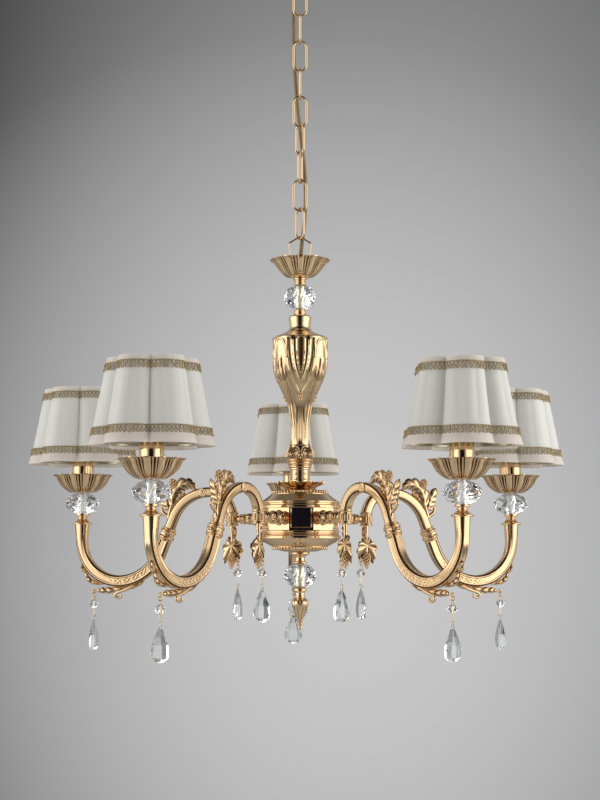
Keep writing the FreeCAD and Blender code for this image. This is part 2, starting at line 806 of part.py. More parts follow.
def solid_between(rows):
    """A closed solid of flat triangles between rows of points that all turn the same way."""
    faces = [Part.Face(Part.makePolygon([*row, row[0]])) for row in (rows[0], rows[-1])]
    count = len(rows[0])
    for index, (below, above) in enumerate(zip(rows, rows[1:])):
        for side in range(count):
            after = (side + 1) % count
            low, high, low_after, high_after = below[side], above[side], below[after], above[after]
            triangles = [(low, low_after, high), (low_after, high_after, high)]
            if index % 2:
                triangles = [(low, high_after, high), (low, low_after, high_after)]
            faces += [Part.Face(Part.makePolygon([*points, points[0]])) for points in triangles]
    return Part.makeSolid(Part.makeShell(faces))


def lobed_wire(radius, swell, height):
    """A smooth closed ring that swells into four lobes between the axes."""
    count = 16
    points = []
    for index in range(count):
        turn = 2 * math.pi * index / count
        far = radius * (1 + swell * (1 - math.cos(4 * turn)) / 2)
        points.append(Vector(far * math.cos(turn), far * math.sin(turn), height))
    curve = Part.BSplineCurve()
    curve.interpolate(points, PeriodicFlag=True)
    return Part.Wire(curve.toShape())


def on_column(height):
    return Placement(Vector(0, 0, number(height)), Rotation())


def vase():
    """The four lobed body of the column, bored for the rod."""
    shoulder, neck, stem = numbers("vase_shoulder_radius", "vase_neck_radius", "vase_stem_radius")
    tall = number("vase_height")
    sections = []
    for rise, fullness, swell in VASE_PROFILE:
        sections.append(lobed_wire(stem + (shoulder - stem) * fullness, swell, rise * tall))
    bore = Part.makeCylinder(number("rod_radius + rod_gap"), 2 * tall, Vector(0, 0, -tall / 2))
    body = Part.makeLoft(sections, True, False).cut(bore)
    flare = [lobed_wire(neck, 0, tall), lobed_wire(neck + 0.06 * shoulder, 0.01, 0.965 * tall)]
    flare += [lobed_wire(0.62 * shoulder, 0.05, 0.935 * tall), sections[-1]]
    top = Part.makeLoft(list(reversed(flare)), True, True).cut(bore)
    made("vase", body.fuse(top).removeSplitter(), on_column("vase_foot"))


def top_cup():
    """The scalloped cup at the head of the column."""
    made("top_cup", petal_cup(number("rod_radius + rod_gap")), on_column("top_cup_foot"))


def upper_and_lower_ball():
    """The two cut crystal balls that the rod passes through."""
    bore = number("rod_radius + rod_gap")
    for name in ("upper_ball", "lower_ball"):
        radius, tall = numbers(f"{name}_radius", f"{name}_height")
        made(name, faceted_ball(radius, tall, bore), on_column(f"{name}_foot"))


def moulding(label, radius, height, outline, foot, bore="rod_radius + rod_gap"):
    """A turned piece with a bore, its outline given as shares of its radius and height."""
    return turned(label, bored(bore, height, shares(radius, height, outline)), foot)


def tube(label, radius, bore, height, foot):
    return turned(label, bored(bore, height, [(radius, "0"), (radius, height)]), foot)


def column_tube():
    """The tube between knop and hub, standing in a collar of leaves that flares over the upper cover."""
    radius, wall, tall = numbers("tube_radius", "tube_wall", "tube_height")
    cells = [f"leaf_collar_{word}" for word in ("foot", "radius", "height", "wall", "notch", "count")]
    *spans, count = numbers(*cells)
    leaves = petal_shell(LEAF_COLLAR_PROFILE, *spans, int(count))
    bore = Part.makeCylinder(radius - wall, 2 * tall, Vector(0, 0, -tall / 2))
    whole = Part.makeCylinder(radius, tall).fuse(leaves).cut(bore)
    made("column_tube", whole.removeSplitter(), on_column("tube_foot"))


def thin_cover(label, outline, height, foot):
    """A turned cover of one wall thickness, from its rim at the foot to the rod at its crown."""
    outside = shares("cover_radius", height, outline)
    crown = height
    inside = [(f"{across} - cover_wall", f"{up} - cover_wall") for across, up in outside[1:]]
    inside = [(f"{outside[0][0]} - cover_wall", "0"), *inside]
    bore = "rod_radius + rod_gap"
    corners = [*outside, (bore, crown), (bore, f"{crown} - cover_wall"), *reversed(inside)]
    return turned(label, corners, foot)


def hub_drum():
    """The ten sided drum: a framed recess in each face between arms, and a stud hole in each arm's face."""
    body = new_body("hub_drum", "drum_foot")
    body.Placement.Rotation = Rotation(Vector(0, 0, 1), -90)
    count = 2 * int(number("arm_count"))
    corners = []
    for point in ring_points(1 / math.cos(math.pi / count), 0, count, 0.5):
        both = (round(point.x, 9), round(point.y, 9))
        corners.append(tuple(f"{share} * drum_face_distance" if share else "0" for share in both))
    sketch = draw(body, "drum_outline", "XY_Plane", corners)
    push(body, "drum_pad", "Pad", sketch, "drum_height")
    hollow = circles(body, "drum_hollow", "XY_Plane", [("0", "0", "drum_face_distance - drum_wall")])
    push(body, "drum_hollow_cut", "Pocket", hollow, "4 * drum_height", both_ways=True)
    half = "panel_width / 2"
    low, high = "(drum_height - panel_height) / 2", "(drum_height + panel_height) / 2"
    corners = [(f"-{half}", low), (half, low), (half, high), (f"-{half}", high)]
    panel = draw(body, "panel_outline", "YZ_Plane", corners)
    panel.setExpression("AttachmentOffset.Base.z", full("drum_face_distance - panel_recess"))
    recess = push(body, "panel_cut", "Pocket", panel, "2 * panel_recess")
    around_column(body, recess, "arm_count")
    stud = circles(body, "stud_hole", "YZ_Plane", [("0", "drum_height / 2", "arm_stud_radius")])
    turn = 180 / number("arm_count")
    stud.AttachmentOffset = Placement(Vector(), Rotation(Vector(0, 1, 0), turn))
    push_studs = push(body, "stud_cut", "Pocket", stud, "2 * drum_face_distance")
    around_column(body, push_studs, "arm_count")


def wiring_block():
    """The terminal block on its post in the lower cover, with a row of terminals."""
    body = new_body("wiring_block", "bottom_cover_foot + cover_wall + block_post_height")
    half, near, far = "block_length / 2", "block_distance", "block_distance + block_width"
    corners = [(f"-{half}", near), (half, near), (half, far), (f"-{half}", far)]
    push(body, "block_pad", "Pad", draw(body, "block_outline", "XY_Plane", corners), "block_height")
    middle, row = "block_distance + block_width / 2", ("-terminal_spacing", "0", "terminal_spacing")
    holes = [(across, middle, "terminal_radius") for across in row]
    terminals = circles(body, "terminal_holes", "XY_Plane", holes)
    terminals.setExpression("AttachmentOffset.Base.z", full("block_height - terminal_depth"))
    push(body, "terminal_cut", "Pocket", terminals, "2 * terminal_depth")
    post = ("0", "block_distance + block_post_radius / 2", "block_post_radius")
    foot = circles(body, "post_outline", "XY_Plane", [post])
    foot.setExpression("AttachmentOffset.Base.z", full("-block_post_height"))
    push(body, "block_post", "Pad", foot, "block_post_height")


def finial():
    """The turned drop that screws onto the rod's foot."""
    bore, floor = "rod_radius + rod_gap", "finial_height - finial_socket_depth - rod_gap"
    socket = [(bore, "finial_height"), (bore, floor), ("0", floor), ("0", "0")]
    outline = shares("finial_radius", "finial_height", FINIAL_PROFILE)
    turned("finial", [*outline, *socket], "finial_foot")


top_cup()
hanger()
moulding("collar_rings", "collar_ring_radius", "collar_ring_height", COLLAR_PROFILE, "ring_foot")
upper_and_lower_ball()
moulding("neck_cap", "neck_cap_radius", "neck_cap_height", NECK_CAP_PROFILE, "neck_cap_foot")
vase()
moulding("knop", "knop_radius", "knop_height", KNOP_PROFILE, "knop_foot")
column_tube()
rod_height = "hanger_foot + hanger_socket_depth - rod_foot"
tube("centre_rod", "rod_radius", "nipple_bore_radius", rod_height, "rod_foot")
thin_cover("hub_top_cover", TOP_COVER_PROFILE, "top_cover_height", "top_cover_foot")
hub_drum()
lower_cover = thin_cover("hub_bottom_cover", BOTTOM_COVER_PROFILE, "bottom_cover_height", "drum_foot")
lower_cover.Placement.Rotation = Rotation(Vector(1, 0, 0), 180)
wiring_block()
collar_sizes = ("lower_collar_radius", "lower_collar_height")
moulding("lower_collar", *collar_sizes, LOWER_COLLAR_PROFILE, "lower_collar_foot")
finial()


# ---------------------------------------------------------------- arms


def arm_direction(index):
    """The turn about the column that takes +X to an arm's direction."""
    return Rotation(Vector(0, 0, 1), number("first_arm_angle") - 90 + index * 360 / number("arm_count"))


def at_arm(index):
    return Placement(Vector(0, 0, number("arm_level")), arm_direction(index))


def round_the_arms(shape):
    """Copies of a piece, one at each arm, as separate solids."""
    copies = []
    for index in range(int(number("arm_count"))):
        copy = shape.copy()
        copy.Placement = at_arm(index) * shape.Placement
        copies.append(copy)
    return Part.makeCompound(copies)


class ArmLine:
    """The arm's centre line in its own plane, with the radial direction as X: a quarter arc from the
    barrel up to the top, an arc over, a slanting straight and two arcs round the bend under the lamp.
    """

    def __init__(self):
        barrel, lamp, top, low = numbers("barrel_distance", "lamp_distance", "arch_top", "bend_bottom")
        self.rise, self.over = numbers("arch_inner_radius", "arch_outer_radius")
        self.under, self.up = numbers("bend_inner_radius", "bend_outer_radius")
        self.rise_middle = self.point(barrel + self.rise, top - self.rise)
        self.over_middle = self.point(barrel + self.rise, top - self.over)
        self.under_middle = self.point(lamp - self.up, self.under - low)
        self.up_middle = self.point(lamp - self.up, self.up - low)
        between = self.under_middle - self.over_middle
        both = self.over + self.under
        self.straight = math.sqrt(between.Length**2 - both**2)
        self.slope = math.atan2(-between.z, between.x) - math.atan2(self.straight, both) + math.pi / 2

    @staticmethod
    def point(across, up):
        return Vector(across, 0, up)

    def around(self, middle, radius, angle):
        """A point at an angle from straight up, turning outwards."""
        return middle + self.point(radius * math.sin(angle), radius * math.cos(angle))

    def arc(self, middle, radius, start, stop):
        ends = [self.around(middle, radius, angle) for angle in (start, (start + stop) / 2, stop)]
        return Part.Arc(*ends).toShape()

    def line_ends(self):
        start = self.around(self.over_middle, self.over, self.slope)
        stop = self.around(self.under_middle, -self.under, self.slope)
        return start, stop

    def knuckle(self):
        start, stop = self.line_ends()
        return (start + stop) / 2

    def arch(self):
        start, _ = self.line_ends()
        rise = self.arc(self.rise_middle, self.rise, -math.pi / 2, 0)
        over = self.arc(self.over_middle, self.over, 0, self.slope)
        return Part.Wire([rise, over, Part.makeLine(start, self.knuckle())])

    def bend(self):
        _, stop = self.line_ends()
        under = self.arc(self.under_middle, -self.under, self.slope, 0)
        up = self.arc(self.up_middle, -self.up, 0, -math.pi / 2)
        return Part.Wire([Part.makeLine(self.knuckle(), stop), under, up])


class Arm:
    """The solids of one arm, in its own plane."""

    def __init__(self):
        self.line = ArmLine()
        self.arch_half, self.bend_half = numbers("arch_width / 2", "bend_width / 2")

    @staticmethod
    def octagon(width, start, onward):
        """An eight sided section across a path, with flats on the arm's two sides."""
        points = ring_points(width / 2 / math.cos(math.pi / 8), 0, 8, 0.5)
        ring = Part.makePolygon([*points, points[0]])
        ring.Placement = Placement(start, Rotation(Vector(0, 0, 1), onward))
        return ring

    def along(self, path, width):
        edge = path.OrderedEdges[0]
        section = self.octagon(width, edge.valueAt(edge.FirstParameter), edge.tangentAt(edge.FirstParameter))
        return path.makePipeShell([section], True, False)

    def trumpet(self):
        """The flare from the bend's end up to the lamp's flange."""
        lamp, foot, top = numbers("lamp_distance", "bend_outer_radius - bend_bottom", "flange_level")
        wide, mouth = numbers("bend_width", "trumpet_width")
        sections = []
        for rise, flare in ((0, 0), (0.35, 0.05), (0.7, 0.35), (1, 1)):
            middle = Vector(lamp, 0, foot + rise * (top - foot))
            sections.append(self.octagon(wide + flare * (mouth - wide), middle, Vector(0, 0, 1)))
        return stacked(sections)

    def roundel(self):
        radius, proud, width = numbers("roundel_radius", "roundel_proud", "arch_width")
        middle = self.line.around(self.line.over_middle, self.line.over, math.radians(ROUNDEL_ANGLE))
        long = width + 2 * proud
        return Part.makeCylinder(radius, long, middle - Vector(0, long / 2, 0), Vector(0, 1, 0))

    def side_grooves(self):
        """The two sunk panels that run round the bend's sides."""
        line = self.line
        under = line.arc(line.under_middle, -line.under, line.slope, 0)
        up = line.arc(line.up_middle, -line.up, 0, -math.pi / 2)
        path = Part.Wire([under, up])
        width, depth = numbers("groove_width", "groove_depth")
        start = line.line_ends()[1]
        across = (start - line.under_middle).normalize() * (width / 2)
        grooves = []
        for side in (-1, 1):
            near, far = (Vector(0, side * (self.bend_half + step), 0) for step in (-depth, depth))
            points = [across + near, near - across, far - across, across + far]
            section = Part.makePolygon([start + point for point in [*points, points[0]]])
            grooves.append(path.makePipeShell([section], True, False))
        return grooves

    def tube(self):
        """The cast tube of the whole arm, trimmed where it stands on the barrel."""
        line = self.line
        arch = self.along(line.arch(), 2 * self.arch_half)
        bend = self.along(line.bend(), 2 * self.bend_half)
        whole = arch.multiFuse([bend, self.trumpet(), self.roundel()])
        radius, half, distance = numbers("barrel_rim_radius", "barrel_height / 2", "barrel_distance")
        barrel = Part.makeCylinder(2 * radius, 4 * half, Vector(distance, 0, -3 * half))
        return whole.cut([barrel, *self.side_grooves()])

    def scalloped_plate(self, points, thickness, bulge):
        """A plate with a scalloped edge: each edge between two points is an arc that bulges outwards."""
        edges = []
        for here, after in zip(points, [*points[1:], points[0]]):
            across = after - here
            outwards = Vector(-across.z, 0, across.x) * bulge
            edges.append(Part.Arc(here, (here + after) / 2 + outwards, after).toShape())
        face = Part.Face(Part.Wire(edges))
        face.translate(Vector(0, -thickness / 2, 0))
        return face.extrude(Vector(0, thickness, 0))

    def over_the_arch(self, degrees, lift):
        radius = self.line.over + self.arch_half + lift
        return self.line.around(self.line.over_middle, radius, math.radians(degrees))

    def under_the_bend(self, degrees, drop):
        middle, radius = self.line.under_middle, self.line.under
        if degrees > 0:
            middle, radius = self.line.up_middle, self.line.up
        angle = math.pi - math.radians(degrees)
        return self.line.around(middle, radius + self.bend_half + drop, angle)

    def spray(self):
        points = [self.over_the_arch(*place) for place in SPRAY_OUTLINE]
        return self.scalloped_plate(points, number("spray_thickness"), LEAF_BULGE)

    def spur(self):
        points = [self.under_the_bend(*place) for place in SPUR_OUTLINE]
        plate = self.scalloped_plate(points, number("spur_thickness"), LEAF_BULGE)
        return plate.cut(self.eye(self.spur_eye()))

    def spur_eye(self):
        return self.under_the_bend(*SPUR_EYE)

    def eye(self, middle):
        """What an eye takes out of a plate: its hole, and the metal beside a thin web around it."""
        radius, web = numbers("eye_radius", "eye_web / 2")
        wide = number("2 * ring_radius + strand_wire + eye_clearance")
        side = Vector(0, 1, 0)
        tools = [Part.makeCylinder(radius, 4 * web, middle - side * (2 * web), side)]
        for way in (-1, 1):
            tools.append(Part.makeCylinder(wide, wide, middle + side * (way * web), side * way))
        return tools

    def knuckle(self, tube):
        """The double ring that clasps the joint between arch and bend."""
        radius, long = numbers("knuckle_radius", "knuckle_length")
        outline = [Vector(share * radius, 0, part * long) for share, part in KNUCKLE_PROFILE]
        outline = [Vector(0, 0, outline[0].z), *outline, Vector(0, 0, outline[-1].z)]
        face = Part.Face(Part.makePolygon([*outline, outline[0]]))
        ring = face.revolve(Vector(), Vector(0, 0, 1), 360)
        start, stop = self.line.line_ends()
        ring.Placement = Placement(self.line.knuckle(), Rotation(Vector(0, 0, 1), stop - start))
        return ring.cut(tube)

    def vine_foot(self):
        """Where the pendant's leaf joins its stem."""
        across, up = numbers("barrel_distance", "-barrel_height / 2 - pendant_stem_length")
        return Vector(across, 0, up)

    def vine_point(self, across, up):
        half, tall = numbers("vine_leaf_width / 2", "vine_leaf_height")
        return self.vine_foot() + Vector(across * half, 0, up * tall)

    def pendant(self):
        """A vine leaf on a short stem below the barrel, with a bunch of grapes on its face."""
        radius, long, thick = numbers("pendant_stem_radius", "pendant_stem_length", "vine_leaf_thickness")
        sunk = thick / 4
        stem = Part.makeCylinder(radius, long + sunk, self.vine_foot() - Vector(0, 0, sunk))
        leaf = self.scalloped_plate([self.vine_point(*place) for place in VINE_LEAF], thick, -LEAF_BULGE)
        leaf = leaf.cut(self.eye(self.vine_point(*VINE_EYE)))
        wide, tall = numbers("grape_radius", "grape_height")
        rows = [
            ring_points(wide * share, -part * tall, 8, 0.5 * (index % 2))
            for index, (share, part) in enumerate(GRAPE_ROWS)
        ]
        grapes = solid_between(list(reversed(rows)))
        grapes.translate(self.vine_point(*GRAPE_PLACE))
        return stem.multiFuse([leaf, grapes])


arm = Arm()
arm_tube = arm.tube()
arm_casting = arm_tube.fuse(arm.spur().cut(arm_tube)).removeSplitter()
for index in range(int(number("arm_count"))):
    made(f"arm_{index + 1}", arm_casting.copy(), at_arm(index))
made("arm_knuckles", round_the_arms(arm.knuckle(arm_tube)))
made("leaf_sprays", round_the_arms(arm.spray().cut(arm_tube).cut(arm.knuckle(arm_tube))))
made("leaf_pendants", round_the_arms(arm.pendant()))


def arm_turned(label, corners, height, distance):
    """A turned piece that stands at a distance from the column, once on every arm."""
    return at_each_arm(turned(label, corners, height, distance))


def arm_spigots():
    """The rosette and rings between the drum and a barrel, turned about the arm's level axis."""
    long = "(barrel_distance - barrel_rim_radius - casting_gap - drum_face_distance)"
    corners = [("drum_face_distance", "0")]
    for along, share in SPIGOT_PROFILE:
        corners.append((f"drum_face_distance + {along} * {long}", f"{share} * spigot_radius"))
    corners.append((corners[-1][0], "spigot_neck_radius"))
    corners += [("barrel_distance - barrel_radius - casting_gap", up) for up in ("spigot_neck_radius", "0")]
    at_each_arm(turned("arm_spigots", corners, "arm_level", around="H_Axis"))


def arm_barrels():
    """The upright barrels between the spigots and the arms, each with a rim at both ends."""
    step = "barrel_rim_radius - barrel_radius"
    corners = [
        ("0", "0"),
        ("barrel_rim_radius", "0"),
        ("barrel_rim_radius", "barrel_rim_height"),
        ("barrel_radius", f"barrel_rim_height + {step}"),
        ("barrel_radius", f"barrel_height - barrel_rim_height - ({step})"),
        ("barrel_rim_radius", "barrel_height - barrel_rim_height"),
        ("barrel_rim_radius", "barrel_height"),
        ("0", "barrel_height"),
    ]
    arm_turned("arm_barrels", corners, "arm_level - barrel_height / 2", "barrel_distance")


arm_spigots()
arm_barrels()


# ---------------------------------------------------------------- lamps


def lamp_flanges():
    """The stepped flange on each arm's end, with a socket for the lampholder's stem."""
    bore, floor = "stem_radius + rod_gap", "flange_height - stem_reach - rod_gap"
    corners = [("0", "0"), *shares("flange_radius", "flange_height", FLANGE_PROFILE)]
    corners += [(bore, "flange_height"), (bore, floor), ("0", floor)]
    arm_turned("lamp_flanges", corners, "flange_foot", "lamp_distance")


def at_lamp(shape, height):
    """A shape moved from the origin to its height over an arm's end."""
    moved = shape.copy()
    moved.translate(Vector(number("lamp_distance"), 0, number(f"{height} - arm_level")))
    return moved


def lampholders():
    """The holder and the threaded stem that clamps flange, ball and cup together."""
    stem = "stem_reach + lamp_ball_height + cup_wall"
    body = f"{stem} + holder_height"
    socket, floor = "bulb_cap_radius + bulb_gap", f"{body} - holder_socket_depth"
    corners = [
        ("0", "0"),
        ("stem_radius", "0"),
        ("stem_radius", stem),
        ("holder_radius", stem),
        ("holder_radius", body),
        (socket, body),
        (socket, floor),
        ("0", floor),
    ]
    arm_turned("lampholders", corners, "lamp_ball_foot - stem_reach", "lamp_distance")


def bulbs():
    """Candle bulbs, each a cap in the holder and a glass."""
    corners = [
        ("0", "0"),
        ("bulb_cap_radius", "0"),
        (
            "bulb_cap_radius", "bulb_cap_height",
            "0.85 * bulb_radius", "bulb_cap_height + 0.5 * (bulb_waist - bulb_cap_height)",
        ),
        ("bulb_radius", "bulb_waist", "0.68 * bulb_radius", "bulb_waist + 0.6 * (bulb_height - bulb_waist)"),
        ("0.1 * bulb_radius", "bulb_height"),
        ("0", "bulb_height"),
    ]
    arm_turned("candle_bulbs", corners, "holder_top - holder_socket_depth + bulb_gap", "lamp_distance")


lamp_flanges()
stem_bore = number("stem_radius + rod_gap")
ball = faceted_ball(*numbers("lamp_ball_radius", "lamp_ball_height"), stem_bore)
made("lamp_balls", round_the_arms(at_lamp(ball, "lamp_ball_foot")))
made("drip_cups", round_the_arms(at_lamp(petal_cup(stem_bore), "cup_foot")))
lampholders()
sleeve_bore = "sleeve_radius - sleeve_wall"
sleeve = bored(sleeve_bore, "sleeve_height", [("sleeve_radius", "0"), ("sleeve_radius", "sleeve_height")])
arm_turned("candle_sleeves", sleeve, "cup_floor", "lamp_distance")
bulbs()


# ---------------------------------------------------------------- shades


class Shade:
    """A six lobed shade and its wire frame, standing on the origin."""

    def __init__(self):
        self.low, self.high, self.tall = numbers("shade_bottom_radius", "shade_top_radius", "shade_height")
        self.wall, self.gap, self.wire = numbers("shade_wall", "frame_gap", "frame_wire")
        self.cusp, self.count = number("lobe_cusp"), int(number("lobe_count"))

    def radius(self, height, inset=0.0):
        return self.low + (self.high - self.low) * height / self.tall - inset

    def lobes(self, low, high, inset):
        wires = []
        for height in (low, high):
            wires.append(petal_wire(self.radius(height, inset), self.cusp, height, self.count))
        return stacked(wires)

    def fabric(self):
        return self.lobes(0, self.tall, 0).cut(self.lobes(0, self.tall, self.wall))

    def band(self, low):
        """A lobed ring of the frame, lying against the fabric."""
        high = low + self.wire
        inset = self.wall + self.gap
        return self.lobes(low, high, inset).cut(self.lobes(low, high, inset + self.wire))

    def cusp_point(self, turn, height):
        far = self.cusp * self.radius(height, self.wall + self.gap) - 0.7 * self.wire
        return Vector(far * math.cos(turn), far * math.sin(turn), height)

    def rod(self, start, stop):
        return Part.makeCylinder(self.wire / 2, (stop - start).Length, start, stop - start)

    def frame(self):
        """Two lobed rings, a rib at each crease, and a clip that grips the bulb."""
        low, high = self.wire / 2, self.tall - 1.5 * self.wire
        bore = number("bulb_radius + clip_gap")
        clip_height, clip_foot = number("clip_height"), number("clip_level - shade_level - clip_height / 2")
        clip = Part.makeCylinder(bore + self.wire, clip_height, Vector(0, 0, clip_foot))
        clip = clip.cut(Part.makeCylinder(bore, clip_height, Vector(0, 0, clip_foot)))
        pieces = [self.band(high), clip]
        for index in range(self.count):
            turn = 2 * math.pi * index / self.count
            head = self.cusp_point(turn, high + self.wire / 2)
            pieces.append(self.rod(self.cusp_point(turn, low + self.wire / 2), head))
            if index % 2 == 0:
                grip = bore + self.wire / 2
                foot = Vector(grip * math.cos(turn), grip * math.sin(turn), clip_foot + clip_height / 2)
                pieces.append(self.rod(foot, head))
        return self.band(low).multiFuse(pieces)


shade = Shade()
fabric, frame = shade.fabric(), shade.frame()
for index, turn in enumerate(SHADE_TURNS):
    for label, shape in (("shade", fabric), ("shade_frame", frame)):
        turned_shape = shape.copy()
        turned_shape.rotate(Vector(), Vector(0, 0, 1), turn)
        made(f"{label}_{index + 1}", at_lamp(turned_shape, "shade_foot"), at_arm(index))


# ---------------------------------------------------------------- crystal strands


def wire_ring(radius, wire, middle, axis):
    """A flat ring of wire about a middle."""
    start = middle - axis * (wire / 2)
    outer = Part.makeCylinder(radius + wire / 2, wire, start, axis)
    return outer.cut(Part.makeCylinder(radius - wire / 2, wire, start, axis))


def crystal_drop(width, height, thickness, eye):
    """A flat faceted almond hung by a hole near its point, with the hole's middle at the origin."""
    rows = []
    for index, (share, part) in enumerate(DROP_ROWS):
        rows.append(ring_points(share * width / 2, -part * height, 10, 0.5 * (index % 2), thickness / width))
    drop = solid_between(list(reversed(rows)))
    drop.rotate(Vector(), Vector(0, 0, 1), 90)
    drop.translate(Vector(0, 0, 3 * eye))
    return drop.cut(Part.makeCylinder(eye, 2 * thickness, Vector(-thickness, 0, 0), Vector(1, 0, 0)))


def strand():
    """A ring, a looped pin through a bead, and a drop, hanging from the origin."""
    wire, ring, loop, eye = numbers("strand_wire", "ring_radius", "pin_loop_radius", "eye_radius")
    bead_radius, bead_height, bead_level, drop_level = numbers(
        "bead_radius", "bead_height", "bead_level", "drop_level"
    )
    width, height, thickness = numbers("drop_width", "drop_height", "drop_thickness")
    hook = wire_ring(ring, wire, Vector(0, 0, -ring), Vector(1, 0, 0))
    loop_top = -2 * ring + 1.2 * wire
    upper = Vector(0, 0, loop_top - loop)
    eye_level = -drop_level - 3 * eye
    lower = Vector(0, 0, eye_level + loop)
    shank_top, shank_foot = upper.z - loop, lower.z + loop
    shank = Part.makeCylinder(wire / 2, shank_top - shank_foot, Vector(0, 0, shank_foot))
    loops = [wire_ring(loop, wire, middle, Vector(0, 1, 0)) for middle in (upper, lower)]
    pin = shank.multiFuse(loops)
    bead = faceted_ball(bead_radius, bead_height, 0.8 * wire)
    bead.translate(Vector(0, 0, -bead_level - bead_height / 2))
    drop = crystal_drop(width, height, thickness, eye)
    drop.translate(Vector(0, 0, eye_level))
    return Part.makeCompound([hook, pin, bead, drop])


strand_shape = strand()
for index in range(int(number("arm_count"))):
    for offset, eye in ((0, arm.spur_eye()), (int(number("arm_count")), arm.vine_point(*VINE_EYE))):
        hung = strand_shape.copy()
        hung.translate(eye)
        made(f"strand_{index + offset + 1}", hung, at_arm(index))


# ---------------------------------------------------------------- test and write

doc.recompute()
for item in doc.Objects:
    assert not {"Invalid", "Error"} & set(item.State), f"{item.Label} is {item.State}"
assert len({node.Label for node in nodes}) == len(nodes) <= 60
os.makedirs("parts", exist_ok=True)
for node in nodes:
    shape = node.Shape
    assert not shape.isNull() and shape.isValid(), f"{node.Label} has no valid shape"
    assert shape.Solids and shape.Volume > 0, f"{node.Label} has no solid"
for node in nodes:
    node.Shape.exportStep(f"parts/{node.Label}.step")
print(len(nodes), "nodes,", sum(len(node.Shape.Solids) for node in nodes), "solids")
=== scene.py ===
# %% [markdown]
# # A five arm chandelier in polished brass, crystal and satin
# The packed model gives every body, joint and size. This script dresses it: cast ornament, cut crystal,
# satin shades with braid, and the studio that lights them. Such ornament could be sculpted by hand. Here
# each piece is a surface worked out on a grid, so that it can be read, changed and repeated exactly, and
# it takes its place from the box of the node that it stands for.

# %% Load the packed model
import json
import math

import bpy
import numpy as np
from mathutils import Matrix, Vector


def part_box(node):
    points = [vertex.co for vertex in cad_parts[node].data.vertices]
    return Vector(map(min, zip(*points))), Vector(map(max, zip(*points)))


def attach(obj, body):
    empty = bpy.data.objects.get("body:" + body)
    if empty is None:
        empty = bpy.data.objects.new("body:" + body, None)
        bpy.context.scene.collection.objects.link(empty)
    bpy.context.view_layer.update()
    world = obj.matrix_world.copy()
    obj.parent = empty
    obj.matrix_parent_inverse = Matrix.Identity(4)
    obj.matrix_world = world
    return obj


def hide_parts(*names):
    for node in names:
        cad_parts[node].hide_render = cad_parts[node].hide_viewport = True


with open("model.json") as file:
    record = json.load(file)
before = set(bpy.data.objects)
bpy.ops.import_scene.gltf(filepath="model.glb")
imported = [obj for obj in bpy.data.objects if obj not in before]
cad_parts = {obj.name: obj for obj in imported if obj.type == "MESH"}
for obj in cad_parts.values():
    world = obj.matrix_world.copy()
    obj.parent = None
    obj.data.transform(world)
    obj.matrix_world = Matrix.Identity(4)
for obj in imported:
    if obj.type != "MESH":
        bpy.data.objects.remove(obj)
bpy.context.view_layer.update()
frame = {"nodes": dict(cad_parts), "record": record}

# %% [markdown]
# ## The sizes that the pieces share
# The boxes of the nodes give most places. The arms are turned copies of one another, so a piece is made
# once in the arm's own plane, with the way outwards as X, and is then turned to each arm. A few short
# functions for circles and soft steps come up everywhere, so they stand here too.

# %% Shared sizes
MM = 0.001
ARM_COUNT = 5
FIRST_ARM = -54.0
SLEEVE_RADIUS = 14 * MM
arm_turns = np.radians(FIRST_ARM + 360 / ARM_COUNT * np.arange(ARM_COUNT))
rng = np.random.default_rng(7)


def low(node):
    """The lower corner of a node's box."""
    return np.array(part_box(node)[0])


def high(node):
    """The upper corner of a node's box."""
    return np.array(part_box(node)[1])


def full_turn(count):
    """Angles evenly spread round a circle."""
    return np.linspace(0, 2 * np.pi, count, endpoint=False)


def unit(value):
    """A value kept between 0 and 1."""
    return np.clip(value, 0, 1)


def bell(value, width):
    """A bell curve: 1 where the value is 0, and a third of it at the width."""
    return np.exp(-((value / width) ** 2))


hub = (low("hub_drum")[2] + high("hub_drum")[2]) / 2
lamp_distance = high("candle_sleeves")[1] - SLEEVE_RADIUS
print("hub at", round(float(hub), 4), "lamps at", round(float(lamp_distance), 4))

# %% [markdown]
# ## Helpers for materials
# A material is a small tree of nodes. It could be built by hand in the Shader Editor. In a script every
# node costs a few lines, so these helpers add a node and join it in one, and each finish below reads like
# a recipe. Noise is fixed to the object, so that it moves with a joint.

# %% Node helpers
def feed(tree, socket, value):
    """Joins another node's socket, or sets a constant."""
    if isinstance(value, bpy.types.NodeSocket):
        tree.links.new(value, socket)
    else:
        socket.default_value = value


